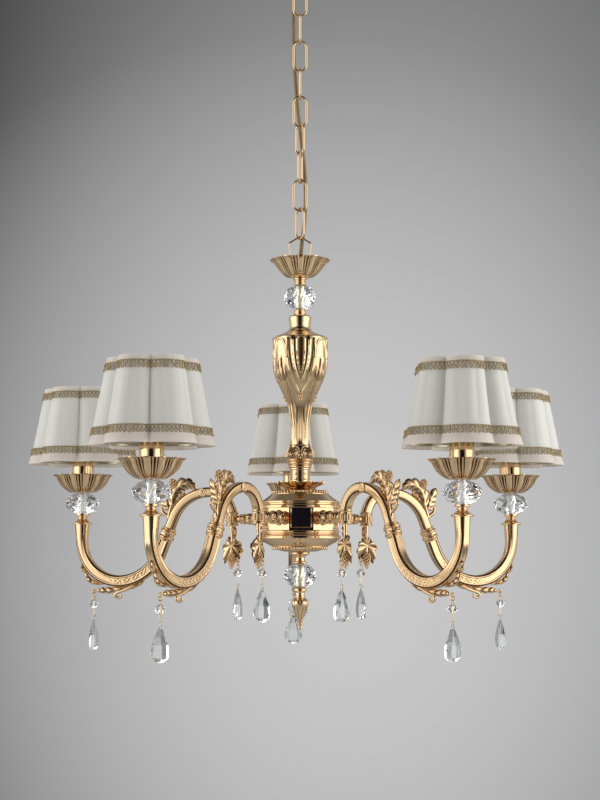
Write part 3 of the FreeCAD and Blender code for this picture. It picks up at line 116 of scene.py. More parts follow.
class Tree:
    """Adds nodes to a node tree and joins them."""

    def __init__(self, tree):
        self.tree = tree
        tree.nodes.clear()

    def add(self, kind, inputs=(), **settings):
        """A node of a kind, with its settings and with what goes into its sockets."""
        node = self.tree.nodes.new(kind)
        for key, value in settings.items():
            setattr(node, key, value)
        for key, value in dict(inputs).items():
            feed(self.tree, node.inputs[key], value)
        return node

    def math(self, operation, *values, clamp=False):
        """One step of arithmetic."""
        inputs = list(enumerate(values))
        return self.add("ShaderNodeMath", inputs, operation=operation, use_clamp=clamp).outputs[0]

    def ramp(self, value, slope, start):
        """A straight line, start + slope times the value, kept between 0 and 1."""
        return self.math("MULTIPLY_ADD", value, slope, start, clamp=True)

    def mix(self, share, first, second):
        """The first colour where the share is 0, and the second where it is 1."""
        inputs = {0: share, 6: first, 7: second}
        return self.add("ShaderNodeMix", inputs, data_type="RGBA").outputs[2]

    def noise(self, scale, detail):
        """A soft random value that is fixed to the object: a higher scale gives a finer grain."""
        place = self.add("ShaderNodeTexCoord").outputs["Object"]
        inputs = {"Vector": place, "Scale": scale, "Detail": detail}
        return self.add("ShaderNodeTexNoise", inputs).outputs["Fac"]

    def bump(self, height, strength, distance=0.0003):
        """The normals of a surface that rises with a height."""
        inputs = {"Strength": strength, "Distance": distance, "Height": height}
        return self.add("ShaderNodeBump", inputs).outputs[0]

    def painted(self, sockets):
        """A principled shader with these sockets, joined to the material's output."""
        paint = self.add("ShaderNodeBsdfPrincipled", sockets)
        self.add("ShaderNodeOutputMaterial", {"Surface": paint.outputs[0]})


print("node helpers", [name for name in vars(Tree) if not name.startswith("_")])

# %% [markdown]
# Every finish starts from an empty material. Colours have four numbers, of which the last is the opacity,
# and greys are so common that they get a function of their own.

# %% New materials
def material(name):
    """A new material and its tree."""
    made = bpy.data.materials.new(name)
    made.use_nodes = True
    return made, Tree(made.node_tree)


def grey(value):
    """A colour without a hue."""
    return (value, value, value, 1)


print("middle grey", grey(0.5))

# %% [markdown]
# ## Camera
# The chandelier hangs above the eye, and its shades are seen slightly from below. A short lens close by
# would bend the arms in front towards the camera, so a long lens stands further back, a little below the
# hub, and is tilted up.

# %% Camera
CAMERA_LENS, CAMERA_DISTANCE, CAMERA_DROP = 75.55, 2.076, 0.0638
CAMERA_TILT, CAMERA_TURN = math.radians(5.8), math.radians(1.94)
lens = bpy.data.cameras.new("camera")
lens.lens = CAMERA_LENS
lens.clip_end = 100
camera = bpy.data.objects.new("camera", lens)
bpy.context.collection.objects.link(camera)
behind_x, behind_y = -math.sin(CAMERA_TURN), -math.cos(CAMERA_TURN)
camera.location = (CAMERA_DISTANCE * behind_x, CAMERA_DISTANCE * behind_y, hub - CAMERA_DROP)
camera.rotation_euler = (math.pi / 2 + CAMERA_TILT, 0, -CAMERA_TURN)
bpy.context.scene.camera = camera
print("camera", [round(value, 3) for value in camera.location])

# %% [markdown]
# ## Supply cord
# The real cord has a glossy brown cover with faint mottling. A plain brown would look like paint, so a
# fine noise mixes two browns, and the same noise as bump breaks up the shine.

# %% Cover of the cord
cord_cover, tree = material("cord_cover")
mottle = tree.noise(700.0, 2.0)
tone = tree.mix(mottle, (0.17, 0.115, 0.05, 1), (0.30, 0.20, 0.09, 1))
tree.painted({"Base Color": tone, "Roughness": 0.3, "Normal": tree.bump(mottle, 0.15)})
print("cover of the cord:", cord_cover.name)

# %% [markdown]
# The cord comes out of the rose, hangs beside the chain and goes into the top cup. It could be a simulated
# cable, but it hardly moves, so a NURBS curve through listed points is enough. The curve's bevel
# gives it its thickness, and it keeps a clean spine for the people who use the part.

# %% Supply cord
CORD_POINTS = [
    (-7.5, 13, -26), (-7.5, 13, -72), (-8.5, 10.5, -125), (-6.5, 10.8, -180), (-2, 13, -232),
    (4.5, 12.5, -285), (8, 9.5, -330), (6.5, 8.5, -370), (2.5, 5.5, -402), (0, 0, -426.5), (0, 0, -455.5),
]
CORD_WIDTH = 5 * MM
line = bpy.data.curves.new("cord", "CURVE")
line.dimensions = "3D"
line.bevel_depth = CORD_WIDTH / 2
line.bevel_resolution = 4
line.resolution_u = 16
line.use_fill_caps = True
spline = line.splines.new("NURBS")
spline.points.add(len(CORD_POINTS) - 1)
spline.points.foreach_set("co", np.c_[np.array(CORD_POINTS) * MM, np.ones(len(CORD_POINTS))].ravel())
spline.order_u = 3
spline.use_endpoint_u = True
line.materials.append(cord_cover)
cord = bpy.data.objects.new("cord", line)
bpy.context.collection.objects.link(cord)
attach(cord, "chain")
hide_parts("supply_cord")
print("cord", len(CORD_POINTS), "points")

# %% [markdown]
# ## Studio
# Polished metal shows its surroundings more than itself. A studio could be built from real walls and
# screens, but then every ray has to bounce between them. Here it is painted into the light of the world
# instead. Each ray has a direction, and its shares to the right, onwards from the camera and up tell what
# it meets.

# %% Directions of the studio
world = bpy.data.worlds.new("studio")
bpy.context.scene.world = world
world.use_nodes = True
tree = Tree(world.node_tree)
view = tree.add("ShaderNodeTexCoord").outputs["Generated"]
rightwards = (math.cos(CAMERA_TURN), -math.sin(CAMERA_TURN), 0)
onwards = (math.sin(CAMERA_TURN), math.cos(CAMERA_TURN), 0)


def share_along(way):
    """How far a ray goes along a way: the dot product of the two."""
    return tree.add("ShaderNodeVectorMath", {0: view, 1: way}, operation="DOT_PRODUCT").outputs["Value"]


across, ahead = share_along(rightwards), share_along(onwards)
up = tree.add("ShaderNodeSeparateXYZ", {0: view}).outputs[2]
sideways = tree.math("ABSOLUTE", across)
print("right", np.round(rightwards, 3), "onwards", np.round(onwards, 3))

# %% [markdown]
# Behind the object hangs a plain grey cloth that fades outwards. A gradient node would fade it along one
# line only, so it loses light with the square of the way from its middle, across and up. The loss holds
# only where the camera looks.

# %% Backdrop
BACKDROP_LIGHT = 0.585


def fall(value, middle, reach, depth):
    """Light lost: depth times the square of (value - middle) / reach, up to 1.6 times the depth."""
    way = tree.math("DIVIDE", tree.math("SUBTRACT", value, middle), reach)
    return tree.math("MINIMUM", tree.math("MULTIPLY", tree.math("MULTIPLY", way, way), depth), depth * 1.6)


losses = tree.math("ADD", fall(across, 0.030, 0.201, 0.247), fall(up, 0.011, 0.264, 0.25))
in_view = tree.ramp(ahead, 8.0, -6.6)
backdrop = tree.math("SUBTRACT", BACKDROP_LIGHT, tree.math("MULTIPLY", losses, in_view))
print("backdrop", BACKDROP_LIGHT)

# %% [markdown]
# Whoever lights polished metal puts white screens beside it, so that it has something bright to mirror,
# and dark strips between them, so that its edges show. This is the same set-up: the backdrop with darker
# walls beside it, bright screens from the sides round to the front, and a dark strip in the middle of the
# front that gives the black lines. Above and below it is dark.

# %% What metal sees
WARM_WHITE, SCREEN_LIGHT = (0.86, 0.83, 0.78, 1), (1.8, 1.76, 1.68, 1)
DIM_FRONT, BLACK_STRIP = (0.10, 0.09, 0.08, 1), (0.006, 0.008, 0.02, 1)
behind = tree.ramp(ahead, 2.2, -0.9)
walls = tree.math("MULTIPLY", backdrop, tree.math("MULTIPLY_ADD", behind, 0.35, 0.65))
screen = tree.math("MULTIPLY", tree.ramp(sideways, 4.0, -1.9), tree.math("MULTIPLY_ADD", across, 0.15, 1.0))
studio = tree.mix(tree.ramp(ahead, -2.2, 1.0), walls, tree.mix(screen, WARM_WHITE, SCREEN_LIGHT))
studio = tree.mix(tree.ramp(up, 3.0, -1.2), studio, grey(0.16))
studio = tree.mix(tree.ramp(up, -3.0, -1.75), studio, grey(0.3))
in_front = tree.ramp(ahead, -6.0, -1.0)
dim = tree.math("MULTIPLY", tree.ramp(sideways, -5.0, 3.5), in_front)
studio = tree.mix(tree.math("MULTIPLY", dim, 0.6), studio, DIM_FRONT)
strip = tree.math("MULTIPLY", tree.ramp(sideways, -9.0, 3.6), in_front)
studio = tree.mix(strip, studio, BLACK_STRIP)
print("screens", SCREEN_LIGHT[:3], "strip", BLACK_STRIP[:3])

# %% [markdown]
# One world has to serve three kinds of ray. The camera and the rays through crystal get the backdrop,
# mirrored rays get the studio, and all other surfaces get a plain light from all sides. The Light Path
# node tells them apart, which keeps the metal lively and the backdrop plain.

# %% Which ray sees what
path = tree.add("ShaderNodeLightPath").outputs
plain = tree.math("MAXIMUM", path["Is Camera Ray"], path["Is Transmission Ray"])
light = tree.mix(path["Is Glossy Ray"], grey(0.37), studio)
light = tree.mix(plain, light, backdrop)
shader = tree.add("ShaderNodeBackground", {"Color": light, "Strength": 1.0})
tree.add("ShaderNodeOutputWorld", {"Surface": shader.outputs[0]})
print("studio nodes", len(world.node_tree.nodes))

# %% [markdown]
# ## Lamps and floor
# Two wide soft lamps beside the object light the shades, a small one above and one behind part them from
# the backdrop. Small lamps would give hard shadows between the arms. The screens of the studio stand for
# the lamps in the metal, so mirrored rays pass the lamps by and nothing is lit twice.

# %% Lamps
# name: place, width and height in metres, power in watts
LAMPS = {
    "lamp_left": ((-2.5, -0.6, -0.4), 3.0, 3.2, 56),
    "lamp_right": ((2.5, -0.6, -0.4), 3.0, 3.2, 80),
    "lamp_top": ((-0.3, 0.2, 1.6), 1.4, 1.4, 11),
    "lamp_back": ((-0.6, 2.2, 0.3), 1.6, 1.0, 8),
}
aim = Vector((0, 0, hub + 0.06))
for name, (place, wide, tall, power) in LAMPS.items():
    data = bpy.data.lights.new(name, "AREA")
    data.shape = "RECTANGLE"
    data.size, data.size_y, data.energy = wide, tall, power
    lamp = bpy.data.objects.new(name, data)
    lamp.location = place
    lamp.rotation_euler = (aim - Vector(place)).to_track_quat("-Z", "Y").to_euler()
    lamp.visible_camera = lamp.visible_glossy = False
    bpy.context.collection.objects.link(lamp)
print("lamps", {name: lamp[-1] for name, lamp in LAMPS.items()}, "watts")

# %% [markdown]
# The floor is far below and out of sight, but its pale grey sends some light back up under the shades. A
# round plate is enough.

# %% Floor
FLOOR_LEVEL = -2.3
bpy.ops.mesh.primitive_circle_add(vertices=64, radius=5, fill_type="NGON", location=(0, 0, FLOOR_LEVEL))
floor = bpy.context.object
floor.name = "floor"
floor_paint, tree = material("floor_paint")
tree.painted({"Base Color": grey(0.45), "Roughness": 0.7})
floor.data.materials.append(floor_paint)
bpy.context.scene.view_settings.view_transform = "Standard"
print("floor at", FLOOR_LEVEL)

# %% [markdown]
# ## Surfaces from grids
# Every shape here is a grid of points: rows along a profile or a path, columns around it. A skin is that
# grid with its faces, and it can be copied to many places at once. Blender's own modifiers could make some
# of these shapes, but numpy works on all points together and can add ornament as a formula.

# %% Skin
class Skin:
    """Points, four-sided and three-sided faces, and how deep each point lies in the ornament."""

    def __init__(self, points, quads, triangles, depth=None, uv=None):
        self.points, self.quads, self.triangles, self.uv = points, quads, triangles, uv
        self.depth = np.zeros(len(points)) if depth is None else depth

    def outwards(self):
        """The same skin with its faces turned outwards: the volume under the faces tells the side."""
        fans = [self.triangles, self.quads[:, [0, 1, 2]], self.quads[:, [0, 2, 3]]]
        corners = self.points[np.vstack(fans)]
        volume = np.einsum("ij,ij->i", corners[:, 0], np.cross(corners[:, 1], corners[:, 2])).sum()
        if volume < 0:
            self.quads, self.triangles = self.quads[:, ::-1], self.triangles[:, ::-1]
            self.uv = None if self.uv is None else self.uv[:, ::-1]
        return self

    def moved(self, matrices):
        """Copies of the skin under an array of 4 by 4 matrices, as one skin."""
        matrices = np.asarray(matrices, float).reshape(-1, 4, 4)
        points = np.einsum("kij,nj->kni", matrices[:, :3, :3], self.points) + matrices[:, None, :3, 3]
        shift = len(self.points) * np.arange(len(matrices))[:, None, None]
        quads, triangles = self.quads[None] + shift, self.triangles[None] + shift
        depth = np.tile(self.depth, len(matrices))
        uv = None if self.uv is None else np.tile(self.uv, (len(matrices), 1, 1))
        return Skin(points.reshape(-1, 3), quads.reshape(-1, 4), triangles.reshape(-1, 3), depth, uv)


def joined(skins):
    """Several skins as one."""
    shifts = np.cumsum([0] + [len(each.points) for each in skins[:-1]])
    uvs = [each.uv for each in skins if each.uv is not None]
    return Skin(
        np.vstack([each.points for each in skins]),
        np.vstack([each.quads + shift for each, shift in zip(skins, shifts)]),
        np.vstack([each.triangles + shift for each, shift in zip(skins, shifts)]),
        np.concatenate([each.depth for each in skins]),
        np.vstack(uvs) if uvs else None,
    )


print("a skin keeps its points, quads, triangles, depth and uv")

# %% [markdown]
# A grid is a sheet, and a solid piece has to be closed, so the last column joins the first, and a fan
# about the middle closes each open end. Cloth also needs a UV map. It is given as the values along the
# columns and along the rows, each with one more at its end.

# %% From a grid to a skin
def around_quads(table):
    """The four corners of every quad of a table, one row of the result per quad."""
    return np.stack([table[:-1, :-1], table[:-1, 1:], table[1:, 1:], table[1:, :-1]], 2)


def skin(grid, loop=False, depth=None, uv=None):
    """A grid (rows, columns, 3) as a closed skin.  The last column joins the first.  Loop joins the last
    row to the first as well, and otherwise each end gets its fan."""
    rows, columns = grid.shape[:2]
    index = np.arange(rows * columns).reshape(rows, columns)
    index = np.hstack([index, index[:, :1]])
    if loop:
        index = np.vstack([index, index[:1]])
    quads = around_quads(index).reshape(-1, 4)
    if uv is not None:
        uv = around_quads(np.stack(np.meshgrid(*uv), -1)).reshape(-1, 4, 2)
    points = grid.reshape(-1, 3)
    depth = np.zeros(rows * columns) if depth is None else np.broadcast_to(depth, (rows, columns)).ravel()
    triangles = np.zeros((0, 3), int)
    if not loop:
        first, last = index[0], index[-1]
        foot, head = (np.full(columns, rows * columns + end) for end in (0, 1))
        below = np.stack([first[1:], first[:-1], foot], -1)
        above = np.stack([last[:-1], last[1:], head], -1)
        points = np.vstack([points, grid[0].mean(0), grid[-1].mean(0)])
        triangles, depth = np.vstack([below, above]), np.append(depth, [0, 0])
    return Skin(points, quads, triangles, depth, uv).outwards()


print("a ring of 8 by 3 points has", len(skin(np.zeros((3, 8, 3))).quads), "quads")

# %% [markdown]
# A piece is one or more skins in one mesh. Whole arrays go to Blender at once, because adding faces one by
# one is slow. The piece rides on its body, and it stands for the nodes that it covers. Edges sharper than
# the crease angle, in degrees, stay sharp in the shading.

# %% From skins to a piece
def fill(owner, name, values, kind):
    """Hands an array to Blender in the kind of number that it stores."""
    owner.foreach_set(name, np.asarray(values).astype(kind).ravel())


def piece(name, parts, material, body, nodes=(), crease=38.0, flat=False):
    """A Blender object of one or more skins, with its material, its body and the nodes it stands for."""
    whole = joined(parts) if isinstance(parts, (list, tuple)) else parts
    mesh = bpy.data.meshes.new(name)
    mesh.vertices.add(len(whole.points))
    fill(mesh.vertices, "co", whole.points, np.float32)
    corners = np.concatenate([whole.quads.ravel(), whole.triangles.ravel()])
    sizes = np.repeat([4, 3], [len(whole.quads), len(whole.triangles)])
    mesh.loops.add(len(corners))
    fill(mesh.loops, "vertex_index", corners, np.int32)
    mesh.polygons.add(len(sizes))
    fill(mesh.polygons, "loop_start", np.cumsum(sizes) - sizes, np.int32)
    fill(mesh.polygons, "use_smooth", np.full(len(sizes), not flat), bool)
    mesh.update(calc_edges=True)
    if whole.uv is not None:
        fill(mesh.uv_layers.new(name="cloth").data, "uv", whole.uv, np.float32)
    if whole.depth.any():
        fill(mesh.attributes.new("depth", "FLOAT", "POINT").data, "value", whole.depth, np.float32)
    if not flat:
        mesh.set_sharp_from_angle(angle=math.radians(crease))
    mesh.materials.append(material)
    made = bpy.data.objects.new(name, mesh)
    bpy.context.collection.objects.link(made)
    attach(made, body)
    if nodes:
        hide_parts(*nodes)
    return made


print("pieces so far:", cord.name)

# %% [markdown]
# ## Profiles
# A profile is a list of corners, in millimetres, as a turner would mark them on paper. Cast and turned
# metal has no sharp corners. A bevel modifier would round the whole mesh and grow it a lot, so the profile
# is softened before it is spun: either short curves cut its corners, or one soft curve runs through all of
# them.

# %% Soft outlines
def rounded(corners, radius=0.7, steps=4):
    """An outline whose corners are cut by short curves: each is a quadratic curve from a point before
    the corner to one after it, no further away than a radius or 0.45 of the side."""
    corners = np.asarray(corners, float)
    here = corners[1:-1]

    def towards(others):
        way = others - here
        length = np.linalg.norm(way, axis=1, keepdims=True)
        return here + way / length * np.minimum(radius, 0.45 * length)

    start, stop = towards(corners[:-2]), towards(corners[2:])
    share = np.linspace(0, 1, steps)[None, :, None]
    curves = (1 - share) ** 2 * start[:, None] + share**2 * stop[:, None]
    curves += 2 * share * (1 - share) * here[:, None]
    return np.vstack([corners[:1], curves.reshape(-1, 2), corners[-1:]])


def smooth(corners, count):
    """Evenly spread points of a soft curve through corners: each stretch is a Catmull-Rom cubic."""
    corners = np.asarray(corners, float)
    padded = np.vstack([2 * corners[0] - corners[1], corners, 2 * corners[-1] - corners[-2]])
    place = np.linspace(0, len(corners) - 1 - 1e-9, count)
    step, share = place.astype(int), (place % 1)[:, None]
    a, b, c, d = (padded[step + offset] for offset in range(4))
    squared, cubed = 2 * a - 5 * b + 4 * c - d, 3 * b - a - 3 * c + d
    return 0.5 * (2 * b + (c - a) * share + squared * share**2 + cubed * share**3)


print("a corner becomes", len(rounded([(0, 0), (1, 0), (1, 1)])) - 2, "points")

# %% [markdown]
# ## Turnings, wires and balls
# Most of the real object is turned on a lathe. A turning is a profile spun about an axis, and a Screw
# modifier could do that, but not with ribs that depend on the angle. A wire is a circle carried along a
# path, and the two ways across the path turn as little as they can, so that the wire doesn't twist.

# %% Turnings, wires and balls
def spun(radius, angle, height):
    """Points from a radius, an angle about Z and a height, which may be tables of any matching shapes."""
    return np.stack(np.broadcast_arrays(radius * np.cos(angle), radius * np.sin(angle), height), -1)


def turned(profile, foot, columns=72, swell=0, depth=None):
    """A profile of (radius, height) in millimetres spun about the column.  Swell, rows by columns, is
    added to the radius, so that ribs and petals are part of the same surface."""
    profile = np.asarray(profile, float) * MM
    radii = profile[:, :1] + np.asarray(swell) * MM
    return skin(spun(radii, full_turn(columns), profile[:, 1:] + foot), depth=depth)


def across_path(path):
    """Two directions across a path: the first is carried along it, and the second is square to both."""
    tangents = np.gradient(path, axis=0)
    tangents /= np.linalg.norm(tangents, axis=1, keepdims=True)
    side = np.cross(tangents[0], [0.13, 0.31, 0.94])
    sides = []
    for tangent in tangents:
        side = side - tangent * side.dot(tangent)
        side = side / np.linalg.norm(side)
        sides.append(side)
    return np.array(sides), np.cross(tangents, sides)


def wire(path, radius, columns=10, closed=False):
    """A round wire along a path: each ring is a circle across the path."""
    path = np.asarray(path, float)
    if closed:
        sides, ups = (ways[1:-1] for ways in across_path(np.vstack([path[-1:], path, path[:1]])))
    else:
        sides, ups = across_path(path)
    angles = full_turn(columns)[None, :, None]
    radius = np.broadcast_to(radius, len(path))[:, None, None]
    ring = sides[:, None] * np.cos(angles) + ups[:, None] * np.sin(angles)
    return skin(path[:, None] + radius * ring, loop=closed)


def sphere(radius, rows=8, columns=12):
    """A small ball: its rows are circles between two poles."""
    slopes = np.linspace(-np.pi / 2, np.pi / 2, rows + 1)[1:-1, None]
    ball = skin(spun(radius * np.cos(slopes), full_turn(columns), radius * np.sin(slopes)))
    ball.points[-2:, 2] = [-radius, radius]
    return ball


print("a ball of 8 rows has", len(sphere(1).points), "points")

# %% [markdown]
# ## Places
# Castings repeat: five arms, five lamps, ten strands. Linked copies would each be an object with its own
# row in the table, so copies that ride on the same body become one mesh, put at a set of matrices. One set
# turns a shape to the five arms, and another also takes it out to the lamps.

# %% Places
def places(points, turns=0, scales=1):
    """Matrices that put copies at points, turned about Z and scaled."""
    points = np.atleast_2d(points)
    matrices = np.tile(np.eye(4), (len(points), 1, 1))
    matrices[:, 0, 0] = matrices[:, 1, 1] = np.cos(turns) * scales
    matrices[:, 1, 0] = np.sin(turns) * scales
    matrices[:, 0, 1] = -matrices[:, 1, 0]
    matrices[:, 2, 2] = scales
    matrices[:, :3, 3] = points
    return matrices


def lifted(height):
    """The matrix that lifts a shape along the column."""
    return places([0, 0, height])


def rotation(angle, axis):
    """The matrix that turns a shape about an axis."""
    return np.array(Matrix.Rotation(angle, 4, axis))


arm_places = places(np.zeros((ARM_COUNT, 3)), arm_turns)
at_hub = arm_places @ lifted(hub)
lamp_places = arm_places @ places([lamp_distance, 0, 0])
print("places of", len(arm_places), "arms and", len(lamp_places), "lamps")

# %% [markdown]
# ## Brass
# Polished brass is a metal with little roughness. A painted texture could hold its marks, but would need
# an unwrapped mesh. Casting leaves soft unevenness, which two noises give, and a darker tone stays where
# the polishing wheel never reached. The meshes carry the depth of their ornament, and the material reads
# it. On the cups that darker tone also runs up the lower slopes of the petals, as painted shade. A paler
# copy of the same brass is painted light: the vase, the top cup, the tube and the neck cap wear it, so
# that they look more brightly lit.

# %% Brass
WARM_TONES = ((0.82, 0.57, 0.32, 1), (0.90, 0.66, 0.40, 1))
# painted light: tones lighter than the warm ones, for a brighter copy of the same brass
PAINTED_LIT_TONES = ((0.94, 0.67, 0.38, 1), (0.99, 0.77, 0.48, 1))
HOLLOW_TONE = (0.10, 0.045, 0.016, 1)


def brass(name, roughness, unevenness, grain, patina=1.0, tones=WARM_TONES):
    """Gold coloured brass: base tone, darker tone in the hollows, soft unevenness as bump."""
    made, tree = material(name)
    broad, fine = tree.noise(38.0, 2.0), tree.noise(grain, 3.0)
    hollow = tree.add("ShaderNodeAttribute", attribute_name="depth").outputs["Fac"]
    dark = tree.math("MULTIPLY", hollow, patina, clamp=True)
    rough = tree.math("MULTIPLY_ADD", fine, 0.12, roughness - 0.05)
    waves = tree.math("MULTIPLY_ADD", broad, 0.6, fine)
    tree.painted({
        "Base Color": tree.mix(dark, tree.mix(broad, *tones), HOLLOW_TONE),
        "Metallic": 1.0,
        "Roughness": tree.math("MULTIPLY_ADD", dark, 0.22, rough),
        "Normal": tree.bump(waves, unevenness, 0.0004),
    })
    return made


cast_brass = brass("cast_brass", 0.16, 0.06, 320.0)
turned_brass = brass("turned_brass", 0.11, 0.04, 300.0)
# painted light: the same brass again, paler and with less dark in its hollows, so that the column's pieces
# look more brightly lit
painted_lit_brass = brass("painted_lit_brass", 0.15, 0.05, 320.0, patina=0.85, tones=PAINTED_LIT_TONES)
mirror_brass = brass("mirror_brass", 0.06, 0.03, 300.0)
print("brass:", [made.name for made in (cast_brass, turned_brass, painted_lit_brass, mirror_brass)])

# %% [markdown]
# ## Crystal and frosted glass
# Crystal is clear glass with flat cuts. A glass shader alone would do, and the principled one is used
# because every viewer knows it. The sparkle comes from the facets, so the surface stays quite smooth, with
# only the faintest streaks. The bulbs are frosted, with a little gloss on top.

# %% Crystal and frosted glass
crystal, tree = material("crystal")
tree.painted({
    "Base Color": (0.985, 0.99, 1, 1), "Roughness": 0.0, "IOR": 1.33, "Transmission Weight": 1.0,
    "Normal": tree.bump(tree.noise(60.0, 1.0), 0.03, 0.0005),
})

frosted, tree = material("frosted_glass")
tone = tree.mix(tree.noise(120.0, 2.0), (0.86, 0.83, 0.76, 1), (0.92, 0.89, 0.82, 1))
tree.painted({"Base Color": tone, "Roughness": 0.35, "Coat Weight": 0.5})
print("glass:", crystal.name, frosted.name)

# %% [markdown]
# ## Satin
# The shades are covered with an ivory satin that glows a little when light comes through. A tiled texture
# would show its repeats, and two crossing waves give a fine weave at any size. A long noise along the
# height gives the slight unevenness of the stretched cloth, and sheen lifts the edges.

# %% Satin
def satin(name, light_tone, dark_tone, sheen, glow):
    """Cloth that reflects light and lets a share of it, the glow, through."""
    made, tree = material(name)
    uv = tree.add("ShaderNodeTexCoord").outputs["UV"]
    warp = tree.add("ShaderNodeTexWave", {"Vector": uv, "Scale": 900.0}, bands_direction="X").outputs["Fac"]
    weft = tree.add("ShaderNodeTexWave", {"Vector": uv, "Scale": 700.0}, bands_direction="Y").outputs["Fac"]
    stretch = tree.add("ShaderNodeMapping", {"Vector": uv, "Scale": (60, 4, 1)}).outputs[0]
    slub = tree.add("ShaderNodeTexNoise", {"Vector": stretch, "Scale": 3.0, "Detail": 4.0}).outputs["Fac"]
    tone = tree.mix(slub, dark_tone, light_tone)
    weave = tree.math("ADD", tree.math("MULTIPLY", warp, weft), tree.math("MULTIPLY", slub, 1.5))
    bump = tree.bump(weave, 0.12)
    inputs = {
        "Base Color": tone, "Roughness": 0.52, "Normal": bump, "Sheen Weight": sheen,
        "Sheen Roughness": 0.4, "Specular IOR Level": 0.35,
    }
    paint = tree.add("ShaderNodeBsdfPrincipled", inputs)
    through = tree.add("ShaderNodeBsdfTranslucent", {"Color": tone, "Normal": bump})
    both = tree.add("ShaderNodeMixShader", {0: glow, 1: paint.outputs[0], 2: through.outputs[0]})
    tree.add("ShaderNodeOutputMaterial", {"Surface": both.outputs[0]})
    return made


ivory_satin = satin("ivory_satin", (0.86, 0.85, 0.80, 1), (0.76, 0.75, 0.70, 1), 0.35, 0.25)
hem_satin = satin("hem_satin", (0.91, 0.86, 0.80, 1), (0.85, 0.79, 0.72, 1), 0.3, 0.45)
print("cloth:", ivory_satin.name, hem_satin.name)

# %% [markdown]
# ## Braid, plastic and steel
# Three small finishes follow the same recipe: a noise mixes two tones. The braid is a gold thread, rough
# with tiny fibres, so its noise also works as bump. The lamp holders' plastic and the frames' plated wire
# are smooth, and there the noise varies the gloss, as wear does.

# %% Braid and the small finishes
braid_gold, tree = material("braid_gold")
thread = tree.noise(1500.0, 2.0)
tone = tree.mix(thread, (0.24, 0.17, 0.07, 1), (0.56, 0.42, 0.22, 1))
tree.painted({"Base Color": tone, "Metallic": 0.35, "Roughness": 0.45, "Normal": tree.bump(thread, 0.4)})

plastic, tree = material("holder_plastic")
mottle = tree.noise(260.0, 3.0)
tone = tree.mix(mottle, (0.82, 0.80, 0.73, 1), (0.86, 0.84, 0.78, 1))
tree.painted({"Base Color": tone, "Roughness": tree.math("MULTIPLY_ADD", mottle, 0.2, 0.35)})

steel, tree = material("plated_steel")
brushed = tree.noise(420.0, 3.0)
tone = tree.mix(brushed, (0.62, 0.55, 0.38, 1), (0.72, 0.65, 0.47, 1))
rough = tree.math("MULTIPLY_ADD", brushed, 0.2, 0.22)
tree.painted({"Base Color": tone, "Metallic": 1.0, "Roughness": rough})
print("small finishes:", braid_gold.name, plastic.name, steel.name)

# %% [markdown]
# ## The finish of every node
# Simple parts such as the chain, the sleeves and the shade frames already have their real shape in the
# solid. To model them again would only risk a gap, so their nodes keep it and take a finish. The sleeves
# and the drum are polished like a mirror.

# %% Finishes of the nodes
FINISH_OF_SLOT = {
    "gold_brass": turned_brass,
    "crystal": crystal,
    "shade_fabric": ivory_satin,
    "frame_wire": steel,
    "bulb_glass": frosted,
    "holder_plastic": plastic,
    "cord_sheath": cord_cover,
}
FINISH_OF_NODE = {"candle_sleeves": mirror_brass, "hub_drum": mirror_brass}
slot_of = {entry["node"]: entry["material_slot"] for entry in frame["record"]["subparts"]}
for node, made in frame["nodes"].items():
    made.data.materials.clear()
    made.data.materials.append(FINISH_OF_NODE.get(node, FINISH_OF_SLOT[slot_of[node]]))
print("finishes", len(FINISH_OF_SLOT), "for", len(slot_of), "nodes")

# %% [markdown]
# ## Shades
# Each shade is satin stretched over a frame of six lobes. A subdivided hexagon would only look like it, so
# the outline is made of six true circles that meet in creases. Its length is worked out as well.

# %% The lobed outline
LOBES, FOLDS, CREASE = 6, 18, 0.82
OUTLINE_STEPS = 1440
SHADE_TURNS = np.radians([-6, 14, 30, -14, -24])
SHADE_LOW, SHADE_HIGH, SHADE_TALL = 68.0, 50.0, 92.0
shade_foot = low("shade_1")[2]
fold_strength = rng.uniform(0.7, 1.6, FOLDS)


def lobed(turn, radius):
    """Distance of the outline from its middle.  Each lobe is a circle of radius rho about a point x0
    out from the middle, so at an angle a from the lobe's axis r = x0 cos a + sqrt(rho^2 - x0^2 sin^2 a).
    The creases lie at CREASE times the radius."""
    half_lobe = np.pi / LOBES
    away = np.mod(turn, 2 * half_lobe) - half_lobe
    out = radius * (1 - CREASE**2) / (2 * (1 - CREASE * np.cos(half_lobe)))
    return out * np.cos(away) + np.sqrt((radius - out) ** 2 - (out * np.sin(away)) ** 2)


def cone(height):
    """The lobes' reach at a height above the shade's foot, in millimetres."""
    return SHADE_LOW + (SHADE_HIGH - SHADE_LOW) * height / SHADE_TALL


def outline_at(height):
    """Angles round the lobes at a height, and the length along them up to each."""
    turns = np.linspace(0, 2 * np.pi, OUTLINE_STEPS + 1)
    line = spun(lobed(turns, cone(height)), turns, 0)
    return turns, np.append(0, np.cumsum(np.linalg.norm(np.diff(line, axis=0), axis=1)))


outline_length = outline_at(0)[1][-1] * MM

# %% [markdown]
# The satin is stretched so tightly that a cloth simulation would barely move it, but between the creases
# it is sewn in soft upright folds. A band of cloth goes up on its outer side and down on its inner side.
# The satin is one band with folds, and a narrow hem without folds closes it below and above.

# %% Cloth
UV_WIDTH = 0.42


def folds(turn, height):
    """Soft folds: one minus the size of a cosine with eighteen half waves, strongest halfway up."""
    number = np.floor(np.mod(turn - np.pi / FOLDS, 2 * np.pi) / (2 * np.pi / FOLDS)).astype(int)
    envelope = unit(np.sin(np.pi * height / SHADE_TALL)) ** 0.6
    return fold_strength[number] * (1 - np.abs(np.cos(FOLDS / 2 * (turn - np.pi / LOBES)))) * envelope


